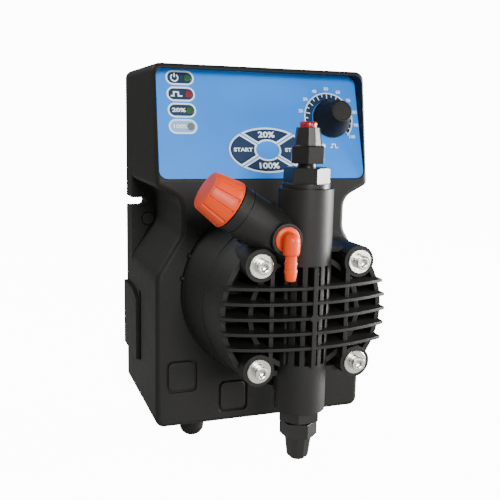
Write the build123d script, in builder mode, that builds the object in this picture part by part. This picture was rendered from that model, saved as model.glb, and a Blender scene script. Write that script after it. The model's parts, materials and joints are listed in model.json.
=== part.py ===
from build123d import *

import os
from math import atan, cos, degrees, pi, radians, sin, sqrt, tan

# Diaphragm metering pump for a wall. Millimetres. X runs to the viewer's right, Z is up, and the
# wall is the plane Y = 0. The origin is where the pump axis meets the wall. A depth is a distance
# out from the wall, along -Y.

# Clearances
FIT_GAP = 0.1  # radial, between pieces that are assembled and stay
RUN_GAP = 0.05  # radial, between pieces that move on each other
HOLE_GAP = 0.3  # radial, around a screw that passes through

# Casing
CASE_WIDTH = 126.0
CASE_HEIGHT = 201.0
CASE_DEPTH = 87.7
AXIS_HEIGHT = 77.8  # pump axis above the casing's foot
WALL = 3.0
CORNER_R = 5.0
EDGE_R = 3.0
WAIST_INSET = 14.3
WAIST_LOW = (9.5, 33.0)  # heights where the waist's lower slope starts and ends
WAIST_HIGH = (51.0, 58.5)  # the same for its upper slope
WAIST_ROUNDS = (15.0, 12.0, 9.0, 3.0)
FLANGE_DEPTH = 18.0
RIM_START = 61.0  # height where the front starts to lean back
RIM_LEAN = 9.4  # its angle from upright
CASE_FOOT = -AXIS_HEIGHT
CASE_TOP = CASE_HEIGHT - AXIS_HEIGHT
RIM_DEPTH_TOP = CASE_DEPTH - (CASE_TOP - RIM_START) * tan(radians(RIM_LEAN))
KEY_RIB = (2.4, 1.6)
KEY_RIB_ANGLES = (155, 170)

# Rear cover
COVER_T = 4.0
GASKET_T = 1.0
COVER_SCREW_R = 1.5
COVER_HEAD_R = 3.0
COVER_HEAD_T = 2.0
COVER_CROSS = (3.4, 0.8)
COVER_SCREW_LENGTH = 16.0
COVER_SCREW_EDGE = 5.8  # screw centres in from the casing's sides
COVER_SCREW_WAIST_EDGE = 9.5  # the same beside the waist
COVER_SCREW_TOP = 9.7
COVER_SCREW_FOOT = 7.8
COVER_SCREW_WAIST = 32.5
POST_R = 3.6
POST_END = 30.0
WAIST_POST_LENGTH = 4.0
TAB_T = 2.0
TAB_SPAN = (-52.0, -10.0)
TAB_DEPTH = 40.0
TAB_CORNER = (0.35, 4.0)  # the cut corner: share of the tab's depth, and drop
TAB_GAP = 0.1
GROOVE = (1.5, 5.0)  # depth and width of the channel in front of a tab

# Panel
PANEL_TILT = 17.7
PANEL_SET_BACK = 1.3  # the seat's lower edge behind the casing's front
PANEL_FOOT_HEIGHT = 61.9
PANEL_MARGIN = 2.0  # casing rim at the panel's sides
PANEL_HEADROOM = 2.235  # and over its top
PANEL_R = 5.0
PANEL_WALL = 2.5
tilt = radians(PANEL_TILT)
PANEL_FOOT = (CASE_DEPTH - PANEL_SET_BACK, PANEL_FOOT_HEIGHT)
PANEL_WIDTH = CASE_WIDTH - 2 * PANEL_MARGIN
PANEL_LENGTH = (CASE_TOP - PANEL_FOOT_HEIGHT - PANEL_HEADROOM) / cos(tilt)
FILM_T = 0.6
FILM_GAP = 0.2
LENS_IN = 19.4
LENS_X = LENS_IN - PANEL_WIDTH / 2
LENS_ROWS = {"green": (0.913, 0.618), "red": (0.765,), "clear": (0.471,)}  # shares of the length
LENS_R = 2.0
LENS_PROUD = 0.3
KEYPAD_AT = (2.0, 0.2645 * PANEL_LENGTH)
KEYPAD_HALF = (0.177 * PANEL_WIDTH, 0.1887 * PANEL_LENGTH)
KEYPAD_HOLE_HALF = (0.0689 * PANEL_WIDTH, 0.1065 * PANEL_LENGTH)
KEY_SPLIT = 3.4
KEY_SPLIT_ANGLE = 31
KEYS = {"high_rate": (270, 59), "start": (180, 31), "low_rate": (90, 59), "stop": (0, 31)}
KEY_GAP = 0.3
KEY_PROUD = 0.4
KEY_TRAVEL = 0.4
KEY_LIP = 0.9
KEY_LIP_T = 1.0
KEY_REST_GAP = 0.05
KEY_STEM_R = 2.0
SWITCH_SIZE = 6.0
SWITCH_T = 1.6
PLUNGER_R = 1.7
KNOB_IN = 18.1
KNOB_AT = (PANEL_WIDTH / 2 - KNOB_IN, 0.571 * PANEL_LENGTH)
KNOB_SKIRT_R = 11.3
KNOB_SKIRT_T = 3.0
KNOB_FOOT_R = 10.6
KNOB_FOOT_T = 0.6
KNOB_TOP_R = 6.2
KNOB_HEIGHT = 15.2
KNOB_CAP_T = 3.0
KNOB_GAP = 0.4
KNOB_HOLLOW = 5.0
KNOB_WALL = 1.6
SHAFT_R = 3.0
BUSHING_R = 3.6
POT_R = 8.2
POT_FLOOR = 5.0
BOARD_BACK = 14.0  # board's front face behind the panel seat
BOARD_T = 1.6
BOARD_MARGIN = (7.0, 5.0, 3.0)  # board's edges in from the panel's sides, foot and top
BOARD_POST_R = 3.2
BOARD_POST_IN = (13.0, 10.0, 7.6)
BOARD_SCREW_R = 1.2
BOARD_SCREW_LENGTH = 6.0
BOARD_HEAD_R = 2.4
TRANSFORMER = (32.0, 26.0, 22.0)
TRANSFORMER_IN = 36.0  # from the panel's left side
CAPACITOR = (8.0, 25.0)
CAPACITOR_AT = (14.0, 6.0)
TERMINALS = (30.0, 9.0, 12.0)
TERMINALS_IN = (35.0, -16.0)  # from the panel's right side, and from the board's middle
TERMINAL_COUNT = 5
TERMINAL_HOLE = (1.6, 3.0)

# Pump axis: a stack of lengths from the casing's front
HEAD_R = 45.2
BOSS_STEP = 4.0
BOSS_R = HEAD_R + BOSS_STEP
BOSS_LENGTH = 4.3
ADAPTER_LENGTH = 26.0
BACK_PLATE_T = 6.0
BOSS_DEPTH = CASE_DEPTH + BOSS_LENGTH
ADAPTER_DEPTH = BOSS_DEPTH + ADAPTER_LENGTH
BACK_PLATE_DEPTH = ADAPTER_DEPTH + BACK_PLATE_T
ADAPTER_STEP = 0.7
ADAPTER_FRONT_R = HEAD_R + ADAPTER_STEP
BOSS_WALL = 6.0
SPIGOT_GAP = 0.4
SPIGOT_END_GAP = 0.3
ADAPTER_WALL = 4.0
WEB_T = 4.0
HUB_LENGTH = 12.0
HUB_WALL = 4.0
BUSH_R = 7.0
BUSH_LENGTH = 9.5
SCREW_IN = 8.43  # screw centres in from the head's edge
SCREW_SPACING = sqrt(2) * (HEAD_R - SCREW_IN)
SCREW_R = 2.0
SCREW_POST_R = 5.0
SCREW_GRIP = 18.0  # screw length inside the adapter
SCREW_HEAD = (3.5, 4.0)
SOCKET = (1.6, 2.2)
WASHER_R = 6.1
WASHER_T = 1.0

# Pump head. The lengths stand out from the back plate.
HEAD_RIM = 18.0
HEAD_FACE = 26.0
HEAD_RIM_DEPTH = BACK_PLATE_DEPTH + HEAD_RIM
HEAD_FACE_DEPTH = BACK_PLATE_DEPTH + HEAD_FACE
HEAD_TAPER = 5.0
HEAD_FLAT_IN = 11.2
HEAD_FLAT = HEAD_R - HEAD_FLAT_IN
HEAD_FLOOR = 6.0
DRUM_WALL = 2.6
TUBE_R = 30.0
TUBE_WALL = 2.5
TUBE_LENGTH = 20.0
TUBE_DEPTH = BACK_PLATE_DEPTH + TUBE_LENGTH
SCREW_BOSS_R = 8.0
FIN_COUNT = 5
FIN_PITCH = 7.5
FIN_T = 1.5
FIN_IN = 1.2
FIN_SIDE = 22.0
FIN_CREST = 32.0
FIN_HALF_WIDTH = HEAD_R - FIN_IN
FIN_SIDE_DEPTH = BACK_PLATE_DEPTH + FIN_SIDE
FIN_CREST_DEPTH = BACK_PLATE_DEPTH + FIN_CREST
PLATE_X = 20.0
PLATE_T = 2.2
PLATE_HALF = 30.5
CHAMBER_R = 22.0
CHAMBER_GAP = 0.8

# Valve column
COLUMN_OUT = 16.7
COLUMN_DEPTH = BACK_PLATE_DEPTH + COLUMN_OUT
COLUMN_R = 13.6
COLUMN_LOW_R = 13.0
COLUMN_TOP = 62.1
COLUMN_FOOT = -50.3
SPINE_SHORT = 4.0  # spine's ends short of the column's
SLOT_HALF = 25.0
SLOT_T = 2.3
RIB_COUNT = 6
RIB_PITCH = 4.6
SLOT_FLOOR = 22.5
SLOT_FLOOR_DEPTH = BACK_PLATE_DEPTH + SLOT_FLOOR
DIAMOND = 4.2
DIAMOND_PROUD = 0.4
BORE_R = 8.0
PASSAGE_R = 3.0
SEAT_HEIGHT = 24.0  # the discharge bore's floor above the axis
SUCTION_SEAT = -22.0  # the suction bore's ceiling
CARTRIDGE_LENGTH = 16.0
CAGE_HOLE_R = 1.1
SEAT_T = 5.0
CHAMBER_WALL = 3.2
BALL_R = 3.2
BALL_SEAT_R = 2.2
BALL_LIFT = 1.5
BALL_GAP = 0.03
ORING_T = 1.8

# Hose connections
HEX_ACROSS = 19.8
COLLAR_T = 2.4
COLLAR_IN = 1.8
DISCHARGE_HEX_T = 7.5
SUCTION_HEX_T = 6.0
NECK_R = 4.6
NECK_LENGTH = 8.0
CONNECTOR_BORE_R = 2.2
DISCHARGE_NUT_GAP = 2.0
SUCTION_NUT_GAP = 1.3
DISCHARGE_NUT = (15.4, 8.5, 8.6)  # across flats, hex height, cone height
SUCTION_NUT = (16.7, 7.9, 11.0)
DISCHARGE_TURN = (32.0, 10.0)  # how far the connector and the nut are turned
SUCTION_TURN = (53.0, 23.0)
NUT_CONE_R = (7.0, 5.7)
TUBE_HOLE_R = 3.1
COLLET_R = 4.2
COLLET_WALL = 0.5
COLLET_SLEEVE = 6.0
COLLET_LOBES = 6
DISCHARGE_COLLET_TIP = 2.8
SUCTION_COLLET_TIP = 1.8
NIPPLE_R = 2.0
NIPPLE_WALL = 0.8
NIPPLE_FLANGE_T = 1.2
NIPPLE_LENGTH = 12.0

# Vent branch
VENT_HEIGHT = 29.6
VENT_RISE = 32.2
VENT_R = 11.8
VENT_LENGTH = 45.4
VENT_SEAM = (40.0, 0.5, 0.4)  # distance along the branch, width and depth
VENT_BORE_R = 6.4
VENT_BORE_START = 20.0
VENT_KNOB_GAP = 0.6
VENT_KNOB_R = (12.1, 9.7)
VENT_KNOB_RIM = 1.0
VENT_KNOB_LENGTH = 14.6
VENT_KNOB_WALL = 1.8
VENT_KNOB_FLUTES = 12
FLUTE_DEPTH = 0.9
STEM_NECK_R = 4.0
STEM_NECK_LENGTH = 12.0
SEAL_AT = 38.1
SEAL_WIRE_R = 0.9
ELBOW_OUT = 17.5  # elbow axis along the branch
ELBOW_FACE = 13.3
ELBOW_FACE_DEPTH = COLUMN_DEPTH + ELBOW_FACE
ELBOW_BOSS_R = 7.7
ELBOW_DISC_R = 6.2
ELBOW_DISC_T = 1.3
ELBOW_NECK_R = 4.1
ELBOW_NECK_LENGTH = 5.0
ELBOW_REACH = 5.2
ELBOW_BORE_R = 1.6
ELBOW_SEAT_GAP = 0.1
ELBOW_RING_T = 0.9
ELBOW_BARB_R = 2.8
ELBOW_BARB_STEP = 0.35
ELBOW_DROP = 18.7

# Solenoid and diaphragm
HOUSING_R = 34.0
HOUSING_WALL = 3.0
HOUSING_REACH = 51.7  # how far the housing goes back into the casing
HOUSING_BACK = CASE_DEPTH - HOUSING_REACH
HOUSING_FLANGE_R = 38.0
HOUSING_FLANGE_T = 3.0
HOUSING_GAP = 0.3
COIL_FRONT_IN = 3.7
COIL_FRONT = CASE_DEPTH - COIL_FRONT_IN
BOBBIN_BORE_R = 13.2
BOBBIN_WALL = 1.5
BOBBIN_FLANGE_T = 2.0
COIL_IN = 1.5  # winding's face below the bobbin's flanges
ARMATURE_LENGTH = 30.0
DRIVE_R = 4.0
REAR_HOLE_GAP = 0.6
SHAFT_TAIL = 3.0
STROKE = 1.25
SPRING_COLLAR = (9.0, 2.0, 4.0)  # radius, thickness and distance in front of the pole plate
SPRING_R = 6.6
SPRING_WIRE_R = 0.8
SPRING_TURNS = 4
DIAPHRAGM_R = 27.0
DIAPHRAGM_T = 2.0
DIAPHRAGM_CROWN = 0.6
RECESS_GAP = 0.2
THROAT_R = 12.0
INSERT_R = 10.5
INSERT_FACE_T = 1.5
INSERT_NECK = 1.5
INSERT_BACK = ADAPTER_DEPTH - INSERT_NECK

# Wall slots, blanking caps and gland
SLOT_AT = 42.5
SLOT_WIDTH = 5.8
SLOT_DEPTH = 9.8
CAP_SIZE = (17.4, 18.8)
CAPS_IN = ((14.6, 29.5), (45.1, 15.1))  # from the casing's left side and foot
CAP_MARGINS = (1.0, 1.7)  # groove left and above, and groove right and below
CAP_RECESS = 1.6
CAP_PROUD = 0.3
CAP_STEP = 2.5
CAP_R = 3.0
GLAND_IN = 30.7  # from the casing's left side
GLAND_DEPTH = 50.0
GLAND_BORE_R = 3.6
GLAND_CORE_R = 4.6
GLAND_THREAD_R = 6.0
GLAND_THREAD_LENGTH = 10.0
GLAND_COLLAR = (15.0, 5.0)
GLAND_BODY_END = 10.2
GLAND_NUT_R = 7.4
GLAND_NUT_START = 5.2
GLAND_NUT_LIP = 2.6
GLAND_DROP = 21.6
LOCKNUT = (17.0, 3.5)

PUMP_AXIS = Axis((0, 0, 0), (0, 1, 0))
VALVE_AXIS = Axis((0, -COLUMN_DEPTH, 0), (0, 0, 1))
rise = radians(VENT_RISE)
panel_seat = Plane(
    origin=(0, -PANEL_FOOT[0], PANEL_FOOT[1]),
    x_dir=(1, 0, 0),
    z_dir=(0, -cos(tilt), sin(tilt)),
)
PANEL_AXIS = Axis(panel_seat.origin, panel_seat.z_dir)
knob_foot = panel_seat.from_local_coords(Vector(*KNOB_AT, 0))
KNOB_AXIS = Axis(knob_foot, panel_seat.z_dir)
# In the profile planes local X is the radius and local Y runs out along the axis.
knob_profile = Plane(origin=knob_foot, x_dir=(1, 0, 0), z_dir=(0, -sin(tilt), -cos(tilt)))
pump_profile = Plane(origin=(0, 0, 0), x_dir=(1, 0, 0), z_dir=(0, 0, -1))
valve_profile = Plane(origin=(0, -COLUMN_DEPTH, 0), x_dir=(1, 0, 0), z_dir=(0, -1, 0))
VENT_AXIS = Axis((0, -COLUMN_DEPTH, VENT_HEIGHT), (-cos(rise), 0, sin(rise)))
vent_profile = Plane(
    origin=(0, -COLUMN_DEPTH, VENT_HEIGHT),
    x_dir=(sin(rise), 0, cos(rise)),
    z_dir=(0, -1, 0),
)
elbow_x = -ELBOW_OUT * cos(rise)
elbow_z = VENT_HEIGHT + ELBOW_OUT * sin(rise)
ELBOW_AXIS = Axis((elbow_x, 0, elbow_z), (0, -1, 0))
elbow_profile = Plane(origin=(elbow_x, 0, elbow_z), x_dir=(1, 0, 0), z_dir=(0, 0, -1))
BARB_DEPTH = ELBOW_FACE_DEPTH + ELBOW_REACH
BARB_AXIS = Axis((elbow_x, -BARB_DEPTH, elbow_z), (0, 0, -1))
barb_profile = Plane(origin=(elbow_x, -BARB_DEPTH, elbow_z), x_dir=(1, 0, 0), z_dir=(0, -1, 0))

cover_screw_spots = [
    (side * (CASE_WIDTH / 2 - COVER_SCREW_EDGE), height)
    for height in (CASE_TOP - COVER_SCREW_TOP, CASE_FOOT + COVER_SCREW_FOOT)
    for side in (-1, 1)
]
waist_screw_spots = [
    (side * (CASE_WIDTH / 2 - COVER_SCREW_WAIST_EDGE), COVER_SCREW_WAIST) for side in (-1, 1)
]
all_cover_screws = cover_screw_spots + waist_screw_spots
board_posts = [
    (side * (PANEL_WIDTH / 2 - BOARD_POST_IN[0]), row)
    for side in (-1, 1)
    for row in (BOARD_POST_IN[1], PANEL_LENGTH - BOARD_POST_IN[2])
]
lens_spots = {
    colour: [(LENS_X, row * PANEL_LENGTH) for row in rows] for colour, rows in LENS_ROWS.items()
}
all_lens_spots = [spot for spots in lens_spots.values() for spot in spots]
cap_spots = [(inset - CASE_WIDTH / 2, CASE_FOOT + height) for inset, height in CAPS_IN]
gland_spot = (GLAND_IN - CASE_WIDTH / 2, GLAND_DEPTH)


def facing(depth):
    return Plane(origin=(0, -depth, 0), x_dir=(1, 0, 0), z_dir=(0, -1, 0))


def level(height):
    return Plane(origin=(0, -COLUMN_DEPTH, height), x_dir=(1, 0, 0), z_dir=(0, 0, 1))


def across_vent(distance):
    return Plane(
        origin=(
            -distance * cos(rise),
            -COLUMN_DEPTH,
            VENT_HEIGHT + distance * sin(rise),
        ),
        x_dir=(0, -1, 0),
        z_dir=(-cos(rise), 0, sin(rise)),
    )


def turn(plane, axis, *corners, mode=Mode.ADD):
    with BuildSketch(plane) as profile:
        with BuildLine():
            Polyline(*corners, close=True)
        make_face()
    revolve(profile.sketch, axis=axis, mode=mode)


def tube(plane, outer, inner, length):
    with BuildSketch(plane) as ring:
        Circle(outer)
        Circle(inner, mode=Mode.SUBTRACT)
    extrude(ring.sketch, amount=length)


def post(plane, radius, length, mode=Mode.ADD):
    with BuildSketch(plane) as disc:
        Circle(radius)
    extrude(disc.sketch, amount=length, mode=mode)


def case_outline(inset=0.0):
    half = CASE_WIDTH / 2
    waist = half - WAIST_INSET
    with BuildLine() as outline:
        Polyline(
            (0, CASE_FOOT),
            (half, CASE_FOOT),
            (half, WAIST_LOW[0]),
            (waist, WAIST_LOW[1]),
            (waist, WAIST_HIGH[0]),
            (half, WAIST_HIGH[1]),
            (half, CASE_TOP),
            (0, CASE_TOP),
        )
        mirror(about=Plane.YZ)
    make_face(outline.edges())
    radii = (CORNER_R, *WAIST_ROUNDS, CORNER_R)
    heights = (CASE_FOOT, *WAIST_LOW, *WAIST_HIGH, CASE_TOP)
    for height, radius in zip(heights, radii):
        corners = vertices().filter_by(lambda v: abs(v.X) > 1 and abs(v.Y - height) < 0.01)
        fillet(corners, radius)
    if inset:
        offset(amount=-inset, mode=Mode.REPLACE)


def full_outline(inset=0.0):
    with Locations((0, (CASE_TOP + CASE_FOOT) / 2)):
        RectangleRounded(CASE_WIDTH - 2 * inset, CASE_HEIGHT - 2 * inset, CORNER_R - inset / 2)


def panel_outline(inset=0.0):
    with Locations((0, PANEL_LENGTH / 2)):
        RectangleRounded(PANEL_WIDTH - 2 * inset, PANEL_LENGTH - 2 * inset, PANEL_R - inset)


def slot_outlines(mode=Mode.ADD):
    for side in (-1, 1):
        edge = side * CASE_WIDTH / 2
        end = edge - side * (SLOT_DEPTH - SLOT_WIDTH / 2)
        with Locations((end, SLOT_AT)):
            Circle(SLOT_WIDTH / 2, mode=mode)
        with Locations(((end + edge) / 2, SLOT_AT)):
            Rectangle(SLOT_DEPTH - SLOT_WIDTH / 2, SLOT_WIDTH, mode=mode)


def keys_outline(grow=0.0):
    with Locations(KEYPAD_AT):
        Ellipse(KEYPAD_HALF[0] + grow, KEYPAD_HALF[1] + grow)
        Ellipse(KEYPAD_HOLE_HALF[0] - grow, KEYPAD_HOLE_HALF[1] - grow, mode=Mode.SUBTRACT)
        for angle in (KEY_SPLIT_ANGLE, -KEY_SPLIT_ANGLE):
            Rectangle(PANEL_WIDTH, KEY_SPLIT - 2 * grow, rotation=angle, mode=Mode.SUBTRACT)


# Space inside the casing
with BuildPart() as case_void:
    with BuildSketch(facing(0)):
        case_outline(WALL)
    extrude(amount=CASE_DEPTH - WALL)
    split(bisect_by=panel_seat.offset(-PANEL_WALL), keep=Keep.BOTTOM)

# Space in front of the panel, inside the leaning rim
with BuildPart() as panel_void:
    panel_rise = PANEL_LENGTH * cos(tilt)
    with BuildSketch(facing(0)):
        with Locations((0, PANEL_FOOT[1] + panel_rise / 2)):
            RectangleRounded(PANEL_WIDTH, panel_rise, PANEL_R)
    extrude(amount=2 * CASE_DEPTH)
    split(bisect_by=panel_seat, keep=Keep.TOP)

with BuildPart() as casing:
    with BuildSketch(facing(COVER_T)):
        full_outline()
    extrude(amount=FLANGE_DEPTH - COVER_T)
    with BuildSketch(facing(FLANGE_DEPTH)):
        case_outline()
    extrude(amount=CASE_DEPTH - FLANGE_DEPTH)
    # the front leans back from RIM_START to the top
    with BuildSketch(Plane.YZ):
        with BuildLine():
            Polyline(
                (-CASE_DEPTH, RIM_START),
                (-RIM_DEPTH_TOP, CASE_TOP),
                (-RIM_DEPTH_TOP, CASE_TOP + 5),
                (-CASE_DEPTH - 5, CASE_TOP + 5),
                (-CASE_DEPTH - 5, RIM_START),
                close=True,
            )
        make_face()
    extrude(amount=CASE_WIDTH, both=True, mode=Mode.SUBTRACT)
    front_edges = edges().filter_by(
        lambda e: min(-v.Y for v in e.vertices()) > RIM_DEPTH_TOP - 0.01
    )
    fillet(front_edges, EDGE_R)
    add(case_void.part, mode=Mode.SUBTRACT)
    add(panel_void.part, mode=Mode.SUBTRACT)
    # pump boss
    with BuildSketch(facing(CASE_DEPTH - WALL)):
        Circle(BOSS_R)
    extrude(amount=BOSS_DEPTH - CASE_DEPTH + WALL)
    with BuildSketch(facing(CASE_DEPTH - WALL)):
        Circle(HOUSING_R + HOUSING_GAP)
    extrude(amount=BOSS_DEPTH, mode=Mode.SUBTRACT)
    with BuildSketch(facing(CASE_DEPTH)):
        Circle(BOSS_R - BOSS_WALL)
    extrude(amount=BOSS_DEPTH, mode=Mode.SUBTRACT)
    # two small key ribs beside the boss
    with BuildSketch(facing(CASE_DEPTH - 1)):
        for angle in KEY_RIB_ANGLES:
            with PolarLocations(BOSS_R, 1, start_angle=angle):
                Rectangle(*KEY_RIB)
    extrude(amount=BOSS_DEPTH - CASE_DEPTH)
    # wall slots
    with BuildSketch(facing(0)):
        slot_outlines()
    extrude(amount=FLANGE_DEPTH + 1, mode=Mode.SUBTRACT)
    # posts for the cover's screws
    with BuildSketch(facing(COVER_T + GASKET_T)):
        with Locations(*cover_screw_spots):
            Circle(POST_R)
    extrude(amount=POST_END - COVER_T - GASKET_T)
    with BuildSketch(facing(FLANGE_DEPTH - 1)):
        with Locations(*waist_screw_spots):
            Circle(POST_R)
    extrude(amount=WAIST_POST_LENGTH + 1)
    with BuildSketch(facing(COVER_T)):
        with Locations(*all_cover_screws):
            Circle(COVER_SCREW_R + FIT_GAP)
    extrude(amount=COVER_SCREW_LENGTH - COVER_HEAD_T, mode=Mode.SUBTRACT)
    # posts for the board, then openings through the panel's seat
    with BuildSketch(panel_seat.offset(-PANEL_WALL + 0.5)):
        with Locations(*board_posts):
            Circle(BOARD_POST_R)
    extrude(amount=-(BOARD_BACK - PANEL_WALL + 0.5))
    with BuildSketch(panel_seat.offset(-BOARD_BACK)):
        with Locations(*board_posts):
            Circle(BOARD_SCREW_R + FIT_GAP)
    extrude(amount=BOARD_SCREW_LENGTH + 2, mode=Mode.SUBTRACT)
    with BuildSketch(panel_seat):
        keys_outline(KEY_GAP)
        with Locations(KNOB_AT):
            Circle(BUSHING_R + FIT_GAP)
        with Locations(*all_lens_spots):
            Circle(LENS_R + FIT_GAP)
    extrude(amount=-PANEL_WALL - 0.1, mode=Mode.SUBTRACT)
    # recesses and windows of the two blanking caps
    for spot in cap_spots:
        with BuildSketch(facing(CASE_DEPTH - CAP_RECESS)):
            with Locations(spot):
                RectangleRounded(*CAP_SIZE, CAP_R)
        extrude(amount=WALL, mode=Mode.SUBTRACT)
        with BuildSketch(facing(CASE_DEPTH - WALL)):
            with Locations(spot):
                RectangleRounded(CAP_SIZE[0] - 2 * CAP_STEP, CAP_SIZE[1] - 2 * CAP_STEP, CAP_R - 1)
        extrude(amount=WALL, mode=Mode.SUBTRACT)
    # channels in front of the cover's side tabs
    for side in (-1, 1):
        with BuildSketch(Plane.YZ.offset(side * CASE_WIDTH / 2)):
            with Locations((-TAB_DEPTH - GROOVE[1] / 2 - 0.5, sum(TAB_SPAN) / 2 + 1)):
                RectangleRounded(GROOVE[1], TAB_SPAN[1] - TAB_SPAN[0] + 2, 1.5)
        extrude(amount=-side * GROOVE[0], mode=Mode.SUBTRACT)
    # hole for the cable gland
    with BuildSketch(Plane.XY.offset(CASE_FOOT)):
        with Locations((gland_spot[0], -gland_spot[1])):
            Circle(GLAND_THREAD_R + FIT_GAP)
    extrude(amount=WALL, mode=Mode.SUBTRACT)

with BuildPart() as rear_cover:
    with BuildSketch(facing(0)):
        full_outline()
        slot_outlines(Mode.SUBTRACT)
        with Locations(*all_cover_screws):
            Circle(COVER_SCREW_R + HOLE_GAP, mode=Mode.SUBTRACT)
    extrude(amount=COVER_T)
    with BuildSketch(facing(0)):
        with Locations(*all_cover_screws):
            Circle(COVER_HEAD_R + HOLE_GAP)
    extrude(amount=COVER_HEAD_T + 2 * FIT_GAP, mode=Mode.SUBTRACT)
    # side tabs that lie along the casing
    for side in (-1, 1):
        with BuildSketch(Plane.YZ.offset(side * (CASE_WIDTH / 2 + TAB_GAP) + min(0, side) * TAB_T)):
            with BuildLine():
                Polyline(
                    (0, TAB_SPAN[0]),
                    (0, TAB_SPAN[1]),
                    (TAB_CORNER[0] * TAB_DEPTH - TAB_DEPTH, TAB_SPAN[1]),
                    (-TAB_DEPTH, TAB_SPAN[1] - TAB_CORNER[1]),
                    (-TAB_DEPTH, TAB_SPAN[0]),
                    close=True,
                )
            make_face()
        extrude(amount=TAB_T)
        with BuildSketch(facing(0)):
            with Locations((side * (CASE_WIDTH / 2 + TAB_GAP + TAB_T / 2 - 0.5), sum(TAB_SPAN) / 2)):
                Rectangle(TAB_T + 1, TAB_SPAN[1] - TAB_SPAN[0])
        extrude(amount=COVER_T - 0.1)

with BuildPart() as cover_gasket:
    with BuildSketch(facing(COVER_T)):
        case_outline(WALL + 0.2)
        offset(amount=-GASKET_T, mode=Mode.SUBTRACT)
    extrude(amount=GASKET_T)

with BuildPart() as cover_screws:
    with BuildSketch(facing(0.1)):
        with Locations(*all_cover_screws):
            Circle(COVER_HEAD_R)
    extrude(amount=COVER_HEAD_T)
    with BuildSketch(facing(COVER_HEAD_T)):
        with Locations(*all_cover_screws):
            Circle(COVER_SCREW_R)
    extrude(amount=COVER_SCREW_LENGTH - COVER_HEAD_T - 1)
    with BuildSketch(facing(0.1)):
        with Locations(*all_cover_screws):
            Rectangle(*COVER_CROSS)
            Rectangle(*COVER_CROSS, rotation=90)
    extrude(amount=COVER_HEAD_T / 2, mode=Mode.SUBTRACT)

# Panel pieces
with BuildPart() as panel_film:
    with BuildSketch(panel_seat):
        panel_outline(FILM_GAP)
        with Locations(KNOB_AT):
            Circle(BUSHING_R + FIT_GAP, mode=Mode.SUBTRACT)
        with Locations(*all_lens_spots):
            Circle(LENS_R + FIT_GAP, mode=Mode.SUBTRACT)
    extrude(amount=FILM_T)
    with BuildSketch(panel_seat):
        keys_outline(KEY_GAP)
    extrude(amount=FILM_T, mode=Mode.SUBTRACT)

lenses = {}
for colour, spots in lens_spots.items():
    with BuildPart() as lens:
        with BuildSketch(panel_seat.offset(-BOARD_BACK)):
            with Locations(*spots):
                Circle(LENS_R)
        extrude(amount=BOARD_BACK + FILM_T + LENS_PROUD)
        fillet(faces().group_by(PANEL_AXIS)[-1].edges(), LENS_PROUD)
    lenses[f"lens_{colour}"] = lens


def key_outline(direction, spread, grow=0.0):
    keys_outline(grow)
    centre = Vector(*KEYPAD_AT)
    with BuildLine() as wedge:
        Polyline(
            centre,
            centre + Vector(PANEL_WIDTH / 2, 0).rotate(Axis.Z, direction - spread),
            centre + Vector(PANEL_WIDTH / 2, 0).rotate(Axis.Z, direction + spread),
            close=True,
        )
    make_face(wedge.edges(), mode=Mode.INTERSECT)


stem_out = [(outer + inner) / 2 for outer, inner in zip(KEYPAD_HALF, KEYPAD_HOLE_HALF)]
key_stems = {
    name: (
        KEYPAD_AT[0] + stem_out[0] * cos(radians(direction)),
        KEYPAD_AT[1] + stem_out[1] * sin(radians(direction)),
    )
    for name, (direction, spread) in KEYS.items()
}
keys = {}
for name, (direction, spread) in KEYS.items():
    with BuildPart() as key:
        with BuildSketch(panel_seat.offset(-PANEL_WALL - KEY_REST_GAP)):
            key_outline(direction, spread)
        extrude(amount=PANEL_WALL + KEY_REST_GAP + FILM_T + KEY_PROUD)
        with BuildSketch(panel_seat.offset(-PANEL_WALL - KEY_REST_GAP)):
            key_outline(direction, spread, KEY_LIP)
        extrude(amount=-KEY_LIP_T)
        with BuildSketch(panel_seat.offset(-PANEL_WALL - KEY_REST_GAP)):
            with Locations(key_stems[name]):
                Circle(KEY_STEM_R)
        extrude(amount=-(BOARD_BACK - PANEL_WALL - 2 * SWITCH_T - KEY_TRAVEL))
    keys[f"key_{name}"] = key

with BuildPart() as key_switches:
    with BuildSketch(panel_seat.offset(-BOARD_BACK)):
        with Locations(*key_stems.values()):
            Rectangle(SWITCH_SIZE, SWITCH_SIZE)
    extrude(amount=SWITCH_T)
    with BuildSketch(panel_seat.offset(-BOARD_BACK)):
        with Locations(*key_stems.values()):
            Circle(PLUNGER_R)
    extrude(amount=2 * SWITCH_T - FIT_GAP)

knob_base = FILM_T + KNOB_GAP
knob_top = FILM_T + KNOB_HEIGHT
with BuildPart() as rate_knob:
    turn(
        knob_profile,
        KNOB_AXIS,
        (0, knob_top - KNOB_CAP_T),
        (SHAFT_R + RUN_GAP, knob_top - KNOB_CAP_T),
        (SHAFT_R + RUN_GAP, knob_base),
        (KNOB_SKIRT_R, knob_base),
        (KNOB_SKIRT_R, knob_base + KNOB_SKIRT_T),
        (KNOB_FOOT_R, knob_base + KNOB_SKIRT_T + KNOB_FOOT_T),
        (KNOB_TOP_R, knob_top),
        (0, knob_top),
    )
    fillet(edges().sort_by(PANEL_AXIS)[-1], KNOB_FOOT_T)
    # hollow inside the skirt
    turn(
        knob_profile,
        KNOB_AXIS,
        (SHAFT_R + KNOB_WALL, knob_base),
        (SHAFT_R + KNOB_WALL, knob_base + KNOB_HOLLOW),
        (KNOB_TOP_R + KNOB_WALL, knob_base + KNOB_HOLLOW),
        (KNOB_SKIRT_R - KNOB_WALL, knob_base + KNOB_SKIRT_T - 1),
        (KNOB_SKIRT_R - KNOB_WALL, knob_base),
        mode=Mode.SUBTRACT,
    )

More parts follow.
